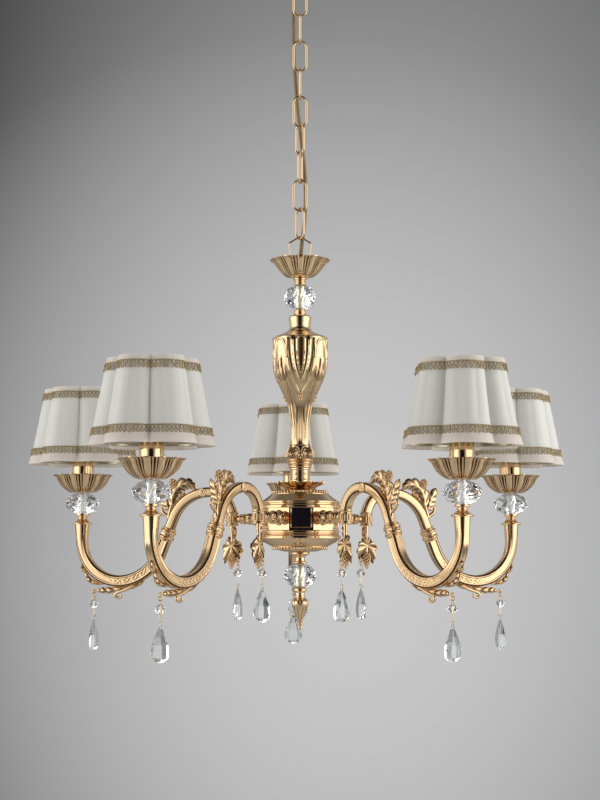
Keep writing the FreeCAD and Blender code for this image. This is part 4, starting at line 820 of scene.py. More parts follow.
def cloth_skin(heights, outside, wall, columns=216, fold=0.0):
    """A closed band of cloth: up its outer side and down its inner side."""
    both = np.append(heights, heights[::-1])
    offset = np.append(outside, np.array(outside[::-1]) - wall)
    turn, height = np.meshgrid(full_turn(columns), both)
    radius = lobed(turn, cone(height)) + offset[:, None] - fold * folds(turn, height)
    uv = (np.linspace(0, UV_WIDTH, columns + 1), np.append(both, both[0]) * MM)
    return skin(spun(radius, turn, height) * MM, loop=True, uv=uv)


satin_skin = cloth_skin(np.linspace(0, SHADE_TALL, 24), np.zeros(24), 1.2, fold=1.0)
hem_skin = joined([
    cloth_skin([-3.2, -3.6, -2.4, 0.6, 4, 8.6], [0.8, 1.2, 1.3, 1.1, 0.7, 0.3], 0.8),
    cloth_skin([85.6, 89, 91.6, 92.6], [0.3, 0.5, 0.7, 0.2], 0.8),
])
print("satin of", len(satin_skin.quads), "quads, hems of", len(hem_skin.quads))

# %% [markdown]
# The real trimming is a flat gimp of gold thread whose loops overlap like a chain. Painted on, it would
# stay flat at the edge of the shade, so it is modelled: two strands wave up and down against each other.
# Each also swings to and fro twice as fast, which bends its waves into the sides of round loops.

# %% Braid
LOOP_PITCH, LOOP_SWING, LOOP_HALF, LOOP_DEPTH = 9.6, 3.5, 4.3, 0.35
THREAD, OFF_THE_SATIN, POINTS_OF_LOOP = 0.5, 0.85, 22
BRAID_LEVELS = (11.6, 82.4)


def braid_skin(level):
    """Two coils wound against each other: along the outline x = s + swing sin(ks) for one and
    x = s - swing sin(ks) for the other, across it z = half cos(ks), and in and out as sin(2ks)."""
    turns, length = outline_at(level)
    loops = int(round(length[-1] / LOOP_PITCH))
    phase = loops * full_turn(POINTS_OF_LOOP * loops)
    strands = []
    for way in (1, -1):
        along = phase / (2 * np.pi * loops) * length[-1] + way * LOOP_SWING * np.sin(phase)
        turn = np.interp(np.mod(along, length[-1]), length, turns)
        height = level + way * LOOP_HALF * np.cos(phase)
        reach = lobed(turn, cone(height)) + OFF_THE_SATIN + way * LOOP_DEPTH * np.sin(2 * phase)
        strands.append(wire(spun(reach, turn, height) * MM, THREAD * MM, columns=5, closed=True))
    return joined(strands)


braid_both = joined([braid_skin(level) for level in BRAID_LEVELS])
print("braid points", len(braid_both.points))

# %% [markdown]
# The cloth is made once and copied to every lamp, and each shade is turned a little by itself, because
# nobody sets five shades alike. The satin takes the place of the solid's shade, and its hem and braid hang
# on it.

# %% The five shades
def shade_piece(kind, shape, finish, body, spot, nodes=(), crease=38.0):
    """One layer of a shade: its satin, its hem or its braid."""
    name = body.replace("shade", kind)
    return piece(name, shape.moved(spot), finish, body, nodes, crease)


for number, turn in enumerate(SHADE_TURNS, 1):
    spot = lamp_places[number - 1] @ places([0, 0, shade_foot], turn)
    body = f"shade_{number}"
    made = shade_piece("satin", satin_skin, ivory_satin, body, spot, [body], crease=70)
    hem = shade_piece("hem", hem_skin, hem_satin, body, spot, crease=50)
    braid = shade_piece("braid", braid_both, braid_gold, body, spot)
print("shades", len(SHADE_TURNS))

# %% [markdown]
# ## Scalloped cups
# The cup is cast with twelve broad petals and a pair of fine ribs between them, and the rim stands out and
# curls over. Petals could be separate leaves laid round a bowl, but a casting has no gaps, so they swell
# the turned wall, and the whole cup is one surface.

# %% Petal cups
TOP_CUP_OUTSIDE = [
    (5.6, 0), (10, 0.15), (14.6, 0.9), (18.6, 2.8), (22.6, 6), (25.8, 9.4), (28.6, 13), (31, 16.2),
    (33, 18.6), (35.2, 20.4), (37, 21.6), (38, 22.3),
]
TOP_CUP_INSIDE = [
    (38.1, 23.1), (36.2, 23.3), (34, 21.6), (31.2, 19), (28, 15.4), (25, 11.8), (21.4, 8.2), (17.4, 5.2),
    (15.2, 3.6),
]
CUP_OUTSIDE = [
    (5.6, 0), (11, 0.15), (15.6, 0.9), (19, 2.4), (23.5, 5.2), (28, 9.2), (31.4, 13.8), (33.4, 17.6),
    (34.6, 19.8), (36.4, 21.4), (38, 22.1),
]
CUP_INSIDE = [
    (38.1, 22.9), (36.6, 23.2), (34.2, 21.6), (32.2, 18.2), (29.4, 13.6), (25.6, 9.2), (20.6, 5.2),
    (16, 2.9),
]
PETALS, PETAL_COLUMNS, CUP_FLOOR = 12, 576, 1.6


def cup_skin(bore, outer, inner):
    """A turned wall.  With u from 0 in the middle of a petal to 1 in the groove, a petal is the dome
    sqrt(1 - (u / 0.56)^2), and a narrow rib on each side of the groove is a lower dome about u = 0.76."""
    outside = smooth(outer, 21)
    inside = np.vstack([smooth(inner, 8), [(14.6, CUP_FLOOR + 0.4), (14.3, CUP_FLOOR), (bore, CUP_FLOOR)]])
    profile = np.vstack([[(bore, 0)], outside, inside])
    radius, up = profile[:, :1], profile[:, 1:]
    turn = full_turn(PETAL_COLUMNS)
    u = np.abs(np.mod(PETALS * turn / (2 * np.pi) + 0.5, 1) - 0.5) * 2
    ribs = 0.7 * np.sqrt(unit(1 - ((u - 0.76) / 0.15) ** 2))
    relief = np.maximum(np.sqrt(unit(1 - (u / 0.56) ** 2)), ribs)
    grow = unit((up - 0.5) / 21.4) * (radius >= 15.5)
    face = np.ones_like(grow)
    face[len(outside) + 1:] = 0.45
    swell = grow**0.6 * 2.9 * (relief - 1) * face
    rise = unit((up - 19) / 3) * (unit(1 - u / 0.66) ** 0.5 + 0.5 * ribs - 0.45)
    # dark in the grooves as patina, and up the lower slopes of the petals as painted shade
    hollow = (grow > 0.02) * unit(1.7 * (0.72 - relief))
    return skin(spun(radius + swell, turn, up + rise) * MM, loop=True, depth=hollow)


def brass_piece(name, parts, finish, nodes=(), crease=38.0):
    """A brass piece of the frame."""
    return piece(name, parts, finish, "frame", nodes, crease)


top_cup = cup_skin(5.4, TOP_CUP_OUTSIDE, TOP_CUP_INSIDE).moved(lifted(low("top_cup")[2]))
brass_piece("top_cup_petals", top_cup, painted_lit_brass, ["top_cup"])
cups = cup_skin(4.4, CUP_OUTSIDE, CUP_INSIDE).moved(lamp_places @ lifted(low("drip_cups")[2]))
brass_piece("drip_cup_petals", cups, cast_brass, ["drip_cups"])
print("cup points", len(top_cup.points), len(cups.points))

# %% [markdown]
# ## Vase
# The vase is the largest casting. Its foot is round, and its body has four lobes that face the corners. It
# could be carved from a square block with booleans. A turning whose radius also depends on the angle gives
# the same body with one even grid, which the relief below needs.

# %% Outline of the vase
VASE_OUTLINE = [
    (12.98, 0), (11.8, 0.04), (10.6, 0.11), (11.3, 0.19), (12.75, 0.27), (15.1, 0.345), (19.4, 0.42),
    (24.2, 0.49), (29.6, 0.565), (32.8, 0.65), (33.7, 0.75), (33.9, 0.83), (34.4, 0.9),
]
VASE_CROWN = [
    (34.0, 0.906), (32.6, 0.912), (29.4, 0.92), (23.6, 0.935), (19, 0.95), (15.6, 0.965), (13.4, 0.985),
    (13, 1),
]
VASE_LOBES = [
    (0, 0.0), (0.04, 0.02), (0.11, 0.05), (0.19, 0.09), (0.27, 0.11), (0.42, 0.12), (0.565, 0.11),
    (0.75, 0.09), (0.9, 0.075), (0.935, 0.05), (1, 0),
]
VASE_TALL, VASE_ROWS, VASE_COLUMNS = 147.0, 132, 288
outline = smooth([(height, radius) for radius, height in VASE_OUTLINE], 400)
crown_radius, crown_rise = np.array(VASE_CROWN).T
vase_rise = np.append(np.linspace(0, 0.9, VASE_ROWS), crown_rise)
vase_radius = np.append(np.interp(vase_rise[:VASE_ROWS], *outline.T), crown_radius)[:, None]
vase_lobe = np.interp(vase_rise, *np.array(VASE_LOBES).T)[:, None]
vase_turn = full_turn(VASE_COLUMNS)
# how far one step goes along the surface, across and up
step_across, step_up = vase_radius * 2 * np.pi / VASE_COLUMNS, np.gradient(vase_rise)[:, None] * VASE_TALL
print("vase rows", len(vase_rise), "widest", round(float(vase_radius.max()), 1), "mm")

# %% [markdown]
# On each face a long pointed shield hangs from the shoulder, and ridges rise from it in arches, as leaves
# do. They could be sculpted, but each follows a line, and a line is simply where some value is zero: an
# oval for the shield and its arches, a straight one for the ribs at the corners. Metal stands up along the
# line and is dark beside it.

# %% Relief of the vase
v = vase_rise[:, None]
# t runs from 0 in the middle of a face to 1 at a corner
t = np.abs(np.mod(vase_turn + np.pi / 4, np.pi / 2) - np.pi / 4) / (np.pi / 4)


def ridge(value, width):
    """Height of a rounded ridge along the line where a value is zero: a bell curve of the distance,
    which is the value divided by the length of its slope."""
    slope_up, slope_across = np.gradient(value)
    slope = np.hypot(slope_across / step_across, slope_up / step_up) + 1e-6
    return bell(value / slope, width)


def flank(value, wide, narrow):
    """The two stretches beside a ridge: a wide bell without a narrow one."""
    return ridge(value, wide) - 1.5 * ridge(value, narrow)


def oval(place, wide, level, tall):
    """Zero on an oval, and negative inside it."""
    return (place / wide) ** 2 + ((v - level) / tall) ** 2 - 1


shield, inner, core = oval(t, 0.62, 0.86, 0.43), oval(t, 0.40, 0.86, 0.33), oval(t, 0.19, 0.84, 0.24)
corner_arch = oval(1 - t, 0.36, 0.72, 0.165)
corner_rib, outer_rib = 0.93 - t - 0.26 * unit(0.72 - v), 0.8 - t - 0.55 * unit(0.66 - v)
fade = unit((v - 0.12) / 0.12) * unit((0.76 - v) / 0.05)
outer_fade = unit((v - 0.16) / 0.1) * unit((0.66 - v) / 0.08)
face = v < 0.9
# line, height and width in millimetres, and where it shows
RIDGES = [
    (shield, 1.25, 1.25, (v < 0.885) * (v > 0.425)),
    (inner, 0.95, 0.95, v < 0.87),
    (core, 0.8, 0.8, v < 0.88),
    (corner_arch, 1.1, 1.1, (v > 0.72) * face),
    (corner_rib, 1.3, 0.9, fade),
    (outer_rib, 1.0, 0.9, outer_fade),
]
height = sum(tall * ridge(line, width) * share for line, tall, width, share in RIDGES)
height = height + 0.35 * np.cos(20 * vase_turn) ** 2 * unit((0.4 - v) / 0.2) * unit(v / 0.06)
sunk = unit(-inner) * face * 1.1 + unit(-core) * face * 0.8
beside = unit(np.max([flank(line, 2.3, 1.2) for line in (shield, inner, corner_arch)], 0))
beside = beside * (v > 0.4) * (v < 0.885) + unit(flank(corner_rib, 2.0, 1.1)) * fade
beside = beside + unit(flank(outer_rib, 2.0, 1.1)) * outer_fade
depth = unit(0.9 * (core < 0) * (v < 0.885) + beside + 0.25 * (inner < 0) * (height < 0.12) * face)
print("ridges", len(RIDGES), "highest", round(float(height.max()), 2), "mm")

# %% [markdown]
# The relief is added to the radius, and the bore for the rod goes down the middle, so the vase is a closed
# casting. Three beads sit under each shield like small berries. They are separate balls sunk into the
# wall, since a grid can't fold round a ball.

# %% Vase
VASE_BORE = 5.4
VASE_BEADS = [(20.1, -0.055, 0.402), (20.1, 0.055, 0.402), (18.3, 0, 0.375)]
base = vase_radius * (1 + vase_lobe * (1 + np.cos(4 * (vase_turn - np.pi / 4))) / 2)
outside = spun(base + height - sunk, vase_turn, v * VASE_TALL)
inside = spun(VASE_BORE, vase_turn, np.array([[VASE_TALL], [0]]))
depth = np.vstack([depth, np.zeros((2, VASE_COLUMNS))])
vase = skin(np.vstack([outside, inside]) * MM, loop=True, depth=depth)
radius, side, share = np.array(VASE_BEADS * 4).T
face_turns = np.repeat(np.arange(4) * np.pi / 2, len(VASE_BEADS))
bead_spots = spun(radius, face_turns + side, share * VASE_TALL) * MM
whole = joined([vase, sphere(2.0 * MM).moved(places(bead_spots, 0, 0.8))]).moved(lifted(low("vase")[2]))
brass_piece("vase_leaves", whole, painted_lit_brass, ["vase"], crease=50)
print("vase points", len(whole.points))

# %% [markdown]
# ## Arms
# An arm is cast in one: a slender arch springs from the barrel, and below the clasp a heavier bend sweeps
# out and up to the lamp. A Bezier curve could be fitted to it by eye. Arcs that share their tangents are
# what a pattern maker draws, and they keep the arm exactly where the solid has it.

# %% The arm's middle line
ARCH_RADII, BEND_RADII = (31.0, 50.0), (60.0, 52.0)
OVER, UNDER, UP = (119.0, -16.0), (238.0, -17.0), (238.0, -25.0)
SLOPE = math.radians(68.05)
CLASP_SPOT = (173.86, -18.37)


def arc(middle, radius, start, stop, count):
    """Points of a circle between two angles, which are counted from the arm's outward axis."""
    angle = np.linspace(start, stop, count)
    return np.stack([middle[0] + radius * np.cos(angle), middle[1] + radius * np.sin(angle)], -1)


side_angle = np.pi / 2 - SLOPE
line_parts = [
    arc((119.0, 3.0), ARCH_RADII[0], math.radians(171), np.pi / 2, 52),
    arc(OVER, ARCH_RADII[1], np.pi / 2, side_angle, 74),
    np.linspace((165.38, 2.69), (182.35, -39.43), 56),
    arc(UNDER, BEND_RADII[0], np.pi + side_angle, 1.5 * np.pi, 92),
    arc(UP, BEND_RADII[1], 1.5 * np.pi, 2 * np.pi, 104),
    np.linspace((290, -25), (290, -5), 30),
]
middle_line = np.vstack([line_parts[0]] + [part[1:] for part in line_parts[1:]])
line_run = np.append(0, np.cumsum(np.linalg.norm(np.diff(middle_line, axis=0), axis=1)))
line_way = np.gradient(middle_line, line_run, axis=0)
line_way /= np.linalg.norm(line_way, axis=1, keepdims=True)
clasp_run = line_run[np.argmin(np.linalg.norm(middle_line - CLASP_SPOT, axis=1))]
print("arm length", round(float(line_run[-1])), "mm, clasp at", round(float(clasp_run)))

# %% [markdown]
# A section that goes from soft to square is carried along the line, which a curve's bevel can't do, since
# it keeps one section. Near the lamp it widens like a trumpet. Flutes run along the arch, and the sides of
# the bend are sunk panels in which two waves cross, like the chased bands on the real arm.

# %% The cast tube
TUBE_COLUMNS, TRUMPET, PANEL_SHARE = 72, 46, 0.56
ARCH_HALF, BEND_HALF = 6.5, 7.25
WAVE_PITCH, WAVE_HALF = 12.5, 2.4


def left_of(ways):
    """Each way in the arm's plane turned to the left by a quarter."""
    return np.stack([-ways[:, 1], ways[:, 0]], -1)


def upright(place, sideways=0):
    """Points of the arm's plane in space, moved sideways out of it."""
    place = np.asarray(place, float)
    return np.stack(np.broadcast_arrays(place[..., 0], sideways, place[..., 1]), -1)


def arm_tube_skin():
    """The section is a superellipse (|cos|^n + |sin|^n)^(-1/n), soft on the arch and squarer on the bend.
    Grooves run beside the edges, and the bend's sides are sunk panels with two crossing waves in them."""
    angle = full_turn(TUBE_COLUMNS)[None, :]
    run = line_run[:, None]
    trumpet = line_run[-1] - TRUMPET
    bend = unit((run - clasp_run) / 4)
    flare = unit((run - trumpet) / TRUMPET) ** 1.7
    soft = unit((run - trumpet + 34) / 60)
    half = ARCH_HALF + (BEND_HALF - ARCH_HALF) * bend - 0.55 * soft + 2.5 * flare
    power = 3.0 + 2.0 * bend * (1 - soft) - 0.7 * soft
    cosine, sine = np.abs(np.cos(angle)), np.abs(np.sin(angle))
    shape = (cosine**power + sine**power) ** (-1 / power)
    across, outwards = half * shape * np.sin(angle), half * shape * np.cos(angle)
    side = sine > cosine
    in_panel = unit((PANEL_SHARE - np.abs(outwards) / half) / 0.07) * side
    lower = bend * unit((trumpet + 34 - run) / 10)
    phase = 2 * np.pi * run / WAVE_PITCH
    ornament = sum(bell(outwards - way * WAVE_HALF * np.sin(phase), 0.75) for way in (1, -1))
    ornament += np.exp(-((np.abs(outwards) - 2.9) ** 2 + (4.2 * np.sin(phase / 2)) ** 2) / 1.2)
    rich = lower * unit(1 - np.abs(run - line_run[-1] + 124) / 36) ** 0.4
    sink = in_panel * lower * (0.8 - 0.4 * unit(ornament) * rich)
    groove = bell(sine - cosine, 0.13) * (0.55 - 0.25 * bend)
    top_flute = bell(across, 0.36 * half) * (~side) * 0.55 * (1 - flare)
    arch_flute = np.exp(-((outwards / (0.5 * half)) ** 4)) * side * 0.28 * (1 - bend)
    shrink = 1 - (groove + sink + top_flute + arch_flute) / half
    place = middle_line[:, None, :] + (outwards * shrink)[..., None] * left_of(line_way)[:, None, :]
    dark = (groove > 0.1) + 4 * in_panel * (1 - in_panel) * lower
    dark = dark + 0.35 * in_panel * rich * (1 - unit(1.3 * ornament))
    return skin(upright(place, across * shrink) * MM, depth=unit(dark))


tube_skin = arm_tube_skin()
print("tube points", len(tube_skin.points))

# %% [markdown]
# ## Leaves, tendrils and grapes
# The arm's foliage is made from three shapes. A leaf is a lens that follows a curved midrib, with a
# scalloped edge and veins that run aslant to the scallops. A tendril is a wire that grows thinner. A bunch
# of grapes is a swarm of little balls on an egg, spread by the golden angle, because that leaves no rows
# and no holes.

# %% Leaf, tendril and bunch
VEIN_SLANT, LEAF_COLUMNS = 0.1925, 28
EYE_RADIUS, EYE_WIRE = 2.15, 0.95


def leaf(spine, half, lobes=5, thick=2.4, rows=44, tilt=0.0, narrow=0.55):
    """Half width = root shaped outline times (0.64 + 0.36 |sin|) for the scallops.  Thickness is a lens,
    with a raised midrib and slanting veins: a cosine of the way along minus a share of the way across."""
    path = smooth(spine, rows)
    way = np.gradient(path, axis=0)
    way /= np.linalg.norm(way, axis=1, keepdims=True)
    t = np.linspace(0, 1, rows)[:, None]
    angle = full_turn(LEAF_COLUMNS)[None, :]
    share, face = np.cos(angle), np.sin(angle)
    outline = (np.clip(t, 0.001, 1) ** narrow) * (1 - t) ** 0.62 * 1.85
    scallop = 0.64 + 0.36 * np.abs(np.sin(lobes * np.pi * t)) ** 0.6
    width = half * np.clip(outline, 0.04, 1) * (1 + (scallop - 1) * share**2)
    vein = np.cos(2 * np.pi * lobes * (t - VEIN_SLANT * np.abs(share)))
    lens = face * np.sqrt(np.clip(outline, 0.05, 1)) * thick * (1 - 0.35 * share**2)
    lens += np.sign(face) * (0.5 * bell(share, 0.14) + 0.2 * vein * (1 - share**2)) * unit(outline)
    place = path[:, None, :] + (width * share)[..., None] * left_of(way)[:, None, :]
    dark = np.clip(0.2 - 1.1 * vein, 0, 0.9) * (np.abs(share) > 0.16) * (np.abs(share) < 0.9)
    return skin(upright(place, lens + tilt * t**2) * MM, depth=dark)


def tendril(spine, start, stop, rows=40):
    """A round stem that follows a curve and grows thinner along it."""
    return wire(upright(smooth(spine, rows)) * MM, np.linspace(start, stop, rows) * MM)


def bunch(middle, half, tall, count=46, ball=1.75, lean=0.0):
    """Balls on an egg, spread by the golden angle from its top to its tip, about a dark core."""
    share = (np.arange(count) + 0.5) / count
    angle = np.arange(count) * np.pi * (3 - math.sqrt(5))
    wide = half * np.sin(np.pi * share**0.8) ** 0.75 * (1 - 0.35 * share)
    outwards, sideways = wide * np.cos(angle) + lean * share, wide * np.sin(angle) * 0.9
    spots = np.stack([middle[0] + outwards, sideways, middle[1] - tall * share], -1)
    thick = half * 0.55 * np.array([0.5, 1, 1, 1, 0.9, 0.7, 0.5, 0.3])
    core = np.linspace(middle, (middle[0] + lean, middle[1] - tall), len(thick))
    stem = wire(upright(core) * MM, thick * MM)
    stem.depth[:] = 1
    return joined([sphere(ball * MM, 6, 8).moved(places(spots * MM)), stem])


def eye_ring(spot):
    """The eye that carries a strand: a small ring in the arm's plane."""
    turn = full_turn(28)
    line = np.array(spot) + EYE_RADIUS * np.stack([np.cos(turn), np.sin(turn)], -1)
    return wire(upright(line) * MM, EYE_WIRE * MM, closed=True)


print("a bunch has", len(bunch((0, 0), 5, 15).points), "points")

# %% [markdown]
# ## Spray over the arch, spur under the bend
# The spray of leaves and grapes stands over the clasp, where the arch turns down. Particles could scatter
# such leaves, but a founder places each one, so every leaf has its own midrib here, and they overlap as on
# the real casting.

# %% Spray
def over_arch(degrees, lift):
    """A place above the arch, at an angle from its top and so far off the tube."""
    angle = math.radians(90 - degrees)
    reach = ARCH_RADII[1] + ARCH_HALF + lift
    return OVER[0] + reach * math.cos(angle), OVER[1] + reach * math.sin(angle)


CURL = [
    (171.5, 2), (175.4, 5.6), (179.6, 9), (181.8, 13.4), (180, 17.4), (176.6, 16.8), (176.2, 14),
    (178.2, 13),
]
BROAD_LEAF = [(168, 16), (167, 28), (162, 38.5), (153, 44.4), (143.5, 44), (136.5, 38)]
# a leaf's spine is followed by its half width, lobes, thickness, rows, tilt and narrowness
spray = joined([
    tendril([(171, -4), (171.8, 5), (170, 13), (167.6, 22), (165, 31)], 3.2, 2.0),
    tendril(CURL, 2.4, 1.5, 60),
    leaf([(172.5, 12), (175, 21), (179, 30), (185, 41)], 9.4, 4, 2.6, 60, 1.2, 0.4),
    leaf(BROAD_LEAF, 10.5, 6, 3.2, 100, -0.8, 0.35),
    leaf([(166.5, 17), (162, 24), (157, 29.4), (150.5, 33)], 4.4, 5, 2.1),
    leaf([(173, 6), (168, 12), (161, 18), (157, 23)], 3.2, 3, 1.9),
    tendril([(163, 27), (158.6, 30.6), (154, 32), (152.2, 34.6), (154.8, 36.6), (157, 34.8)], 1.7, 1.0),
    bunch((167.5, 50.5), 5.2, 15, 46, 1.75, lean=-4),
])
print("one spray has", len(spray.points), "points")

# %% [markdown]
# The spur below the bend carries the outer strand in its eye, and a turned roundel stands out on both
# sides of the arch, near its top. Places on the arm are given as an angle on one of its arcs and a
# distance from the tube's skin, so that the leaves stay on the metal when an arc changes.

# %% Spur and roundel
ROUNDEL_HALF = [
    (5.6, 6.2), (5.5, 7.0), (5.0, 7.2), (4.4, 6.8), (3.7, 7.0), (3.0, 7.3), (2.3, 7.0), (1.7, 7.4),
    (1.0, 7.75), (0.2, 7.6),
]


def below(*spots):
    """Places under the bend, each an angle from its foot and a distance from the tube."""
    found = []
    for degrees, drop in spots:
        middle, radius = (UP, BEND_RADII[1]) if degrees > 0 else (UNDER, BEND_RADII[0])
        angle, reach = math.radians(degrees - 90), radius + BEND_HALF + drop
        found.append((middle[0] + reach * math.cos(angle), middle[1] + reach * math.sin(angle)))
    return found


def mirrored(half):
    """A profile with its mirror image before it; a corner at height 0 is not doubled."""
    return [(radius, -height) for radius, height in half[::-1] if height] + half


outer_eye = below((28, 15))[0]
spur = joined([
    leaf(below((-14, -3), (2, 3), (14, 6.5), (22, 9.5), (25, 13)), 5.4, 5, 2.2),
    leaf(below((20, 0), (34, 5), (42, 5.5), (50, 2)), 4.4, 4, 2.0),
    leaf(below((42, -2), (51, 3.2), (57, 2.6), (62, -1)), 3.0, 3, 1.7),
    leaf(below((4, -2), (-10, 2.4), (-24, 1.6), (-33, -2)), 3.2, 5, 2.0),
    tendril(below((-16, 1), (-6, 4.2), (2, 7), (5, 11), (2, 14), (-2, 12.6), (-1.5, 10)), 2.3, 1.4, 56),
])
roundel_place = places(upright(over_arch(8, -6.5)) * MM) @ rotation(-np.pi / 2, "X")
roundel = turned(mirrored(ROUNDEL_HALF), 0, 40).moved(roundel_place)
casting = joined([tube_skin, spur, eye_ring(outer_eye), roundel])
for number, place in enumerate(at_hub, 1):
    brass_piece(f"arm_casting_{number}", casting.moved(place), cast_brass, [f"arm_{number}"], crease=50)
brass_piece("arm_sprays", spray.moved(at_hub), cast_brass, ["leaf_sprays"], crease=60)
print("one arm has", len(casting.points), "points")

# %% [markdown]
# ## Vine leaves with grapes
# Under each barrel hangs a five pointed vine leaf with a bunch in front, and the inner strand hangs from
# its eye. A flat cut-out would look like paper from the side. So the outline is a soft curve through the
# points of the leaf, the leaf is domed, and a fan of veins runs to the points.

# %% Vine pendants
VINE_OUTLINE = [
    (-0.06, 0.06), (-0.24, 0.1), (-0.4, 0.02), (-0.5, -0.1), (-0.72, -0.12), (-0.86, -0.26), (-0.8, -0.38),
    (-0.96, -0.46), (-1, -0.62), (-0.84, -0.68), (-0.8, -0.84), (-0.64, -0.9), (-0.52, -0.8),
    (-0.38, -0.92), (-0.2, -0.86), (-0.06, -1), (0.12, -0.92), (0.22, -0.8), (0.4, -0.92), (0.56, -1.06),
    (0.72, -1.1), (0.76, -0.94), (0.9, -0.86), (0.92, -0.7), (0.84, -0.56), (0.98, -0.44), (0.92, -0.28),
    (0.7, -0.2), (0.56, -0.08), (0.42, 0.03), (0.24, 0.1), (0.06, 0.06),
]
BARREL_REACH = 88.0
VINE_FOOT, VINE_SIZE, STALK = np.array([BARREL_REACH, -24.5]), [13.8, 28], np.array([0, -8.0])
inner_eye = VINE_FOOT + [-7.29, -27]


def vine_leaf():
    """From the stalk out to the edge on one side and back on the other: the thickness is a dome that
    falls to the edge, with ridges where the angle meets a point of the leaf."""
    outline = smooth(VINE_OUTLINE + VINE_OUTLINE[:1], 192)[:-1] * VINE_SIZE
    share = np.append(np.linspace(0.03, 1, 16), np.linspace(1, 0.03, 16)[1:])[:, None]
    face = np.repeat([-1, 1], [16, 15])[:, None]
    place = STALK + share[..., None] * (outline - STALK) + VINE_FOOT
    toward = np.arctan2(outline[:, 0], -(outline[:, 1] + 2))[None, :]
    veins = np.cos(9 * toward)
    ribs = np.sign(veins) * np.abs(veins) ** 0.7
    thick = 2.2 * np.sqrt(unit(1.02 - share**2)) + 0.6 * ribs * share * (1 - share**4)
    wave = 2.2 * share**2 * np.cos(3 * toward)
    dark = np.clip(-veins * 1.1, 0, 0.9) * (share > 0.15)
    return skin(upright(place, face * thick + wave) * MM, depth=dark)


pendant = joined([
    vine_leaf(),
    tendril([(88, -7.5), (88.4, -14), (87.8, -20), (88, -28)], 3.0, 2.1),
    leaf([(85, -8), (83.6, -14), (84.6, -22), (86.5, -28)], 2.4, 3, 1.6),
    bunch((88.3, -41), 5.0, 19.5, 56, 1.6, lean=0.5),
    eye_ring(inner_eye),
])
brass_piece("vine_pendants", pendant.moved(at_hub), cast_brass, ["leaf_pendants"], crease=60)
print("one pendant has", len(pendant.points), "points")

# %% [markdown]
# ## Turned pieces of the arm
# The clasp and the barrel are turned on a lathe, so each is a profile spun about its axis, and the profile
# is the same on both sides of its middle. Bosses stand round the clasp and ribs round the barrel. They are
# waves in the angle that fade towards the ends, so that no edge loops have to be cut.

# %% Clasps and barrels
CLASP_HALF = [
    (8.5, 1.2), (8.8, 1.9), (10.0, 2.5), (10.4, 3.6), (10.1, 4.9), (8.8, 5.7), (7.8, 6.1), (8.1, 6.5),
    (8.9, 7.1), (8.9, 7.9), (8.2, 8.5), (6.6, 8.6),
]
BARREL_HALF = [
    (7.5, 0), (7.4, 3.5), (7.0, 5.2), (6.9, 5.8), (7.6, 6.1), (8.2, 6.7), (8.2, 7.9), (7.4, 8.5), (1, 8.5),
]
clasp_profile = rounded(mirrored(CLASP_HALF), 0.4)
eight = np.clip(2.2 * np.cos(8 * full_turn(64)), -0.2, 1)
bosses = 0.9 * eight * np.exp(-((clasp_profile[:, 1:] / 1.5) ** 4))
clasp_place = places(upright(CLASP_SPOT) * MM) @ rotation(np.pi / 2 + SLOPE, "Y")
clasps = turned(clasp_profile, 0, 64, swell=bosses).moved(at_hub @ clasp_place)
brass_piece("arm_clasps", clasps, cast_brass, ["arm_knuckles"], crease=50)

barrel_profile = rounded(mirrored(BARREL_HALF), 0.4)
ribs = 0.32 * np.cos(16 * full_turn(96)) * np.exp(-((barrel_profile[:, 1:] / 4.2) ** 6))
barrel = turned(barrel_profile, 0, 96, swell=ribs, depth=0.8 * (ribs < -0.12))
barrels = barrel.moved(at_hub @ places([BARREL_REACH * MM, 0, 0]))
brass_piece("arm_barrel_castings", barrels, cast_brass, ["arm_barrels"], crease=50)
print("clasp and barrel points", len(clasps.points), len(barrels.points))

# %% [markdown]
# ## Turned pieces of the column
# Covers, knop and finial are turned, and the ornament is chased into them afterwards. Here that is a
# relief: a function of the height and of the angle that is added to the radius. All of them are threaded
# on one rod, so they have a bore.

# %% Bored turnings
BORE = 5.4


def turning(corners, foot, bore=BORE, columns=96, relief=None, radius=0.35, inside=None):
    """A turning with a bore, or with an inside of its own, given from the top down.  Relief gives the
    millimetres to add to the radius outside, and how deep each place lies in the ornament."""
    outline = rounded(corners, radius)
    inside = np.array(inside or [(bore, corners[-1][1]), (bore, corners[0][1])], float)
    angle = full_turn(columns)[None, :]
    wide, up = outline[:, :1] + 0 * angle, outline[:, 1:] + 0 * angle
    swell, depth = relief(wide, up, angle) if relief else (0 * wide, 0 * wide)
    wide = np.vstack([wide + swell, inside[:, :1] + 0 * angle])
    up = np.vstack([up, inside[:, 1:] + 0 * angle])
    depth = np.vstack([depth + 0 * angle, np.zeros((len(inside), columns))])
    return skin(spun(wide, angle, up) * MM, loop=True, depth=depth).moved(lifted(foot))


def beads(count, radius, height, size):
    """A ring of small balls round the column, lengths in millimetres."""
    return sphere(size * MM, 6, 10).moved(places(spun(radius, full_turn(count), height) * MM))


def spokes(count, low_radius, high_radius, strength):
    """Petals between two radii: domes that meet in grooves, the root of a cosine's size."""

    def relief(wide, up, angle):
        band = bell(wide - (low_radius + high_radius) / 2, (high_radius - low_radius) / 2)
        dome = np.abs(np.cos(count / 2 * angle)) ** 0.5
        return strength * band * (dome - 1), band * unit(1.3 * (0.6 - dome))

    return relief


print("a plain turning has", len(turning([(6, 0), (8, 1), (6, 2)], 0).points), "points")

# %% [markdown]
# The covers close the drum above and below. Petals are chased round their middle, and a ring of beads lies
# in the groove about them. The beads could be a wave in the profile, but then they would be flat at their
# sides, so they are balls.

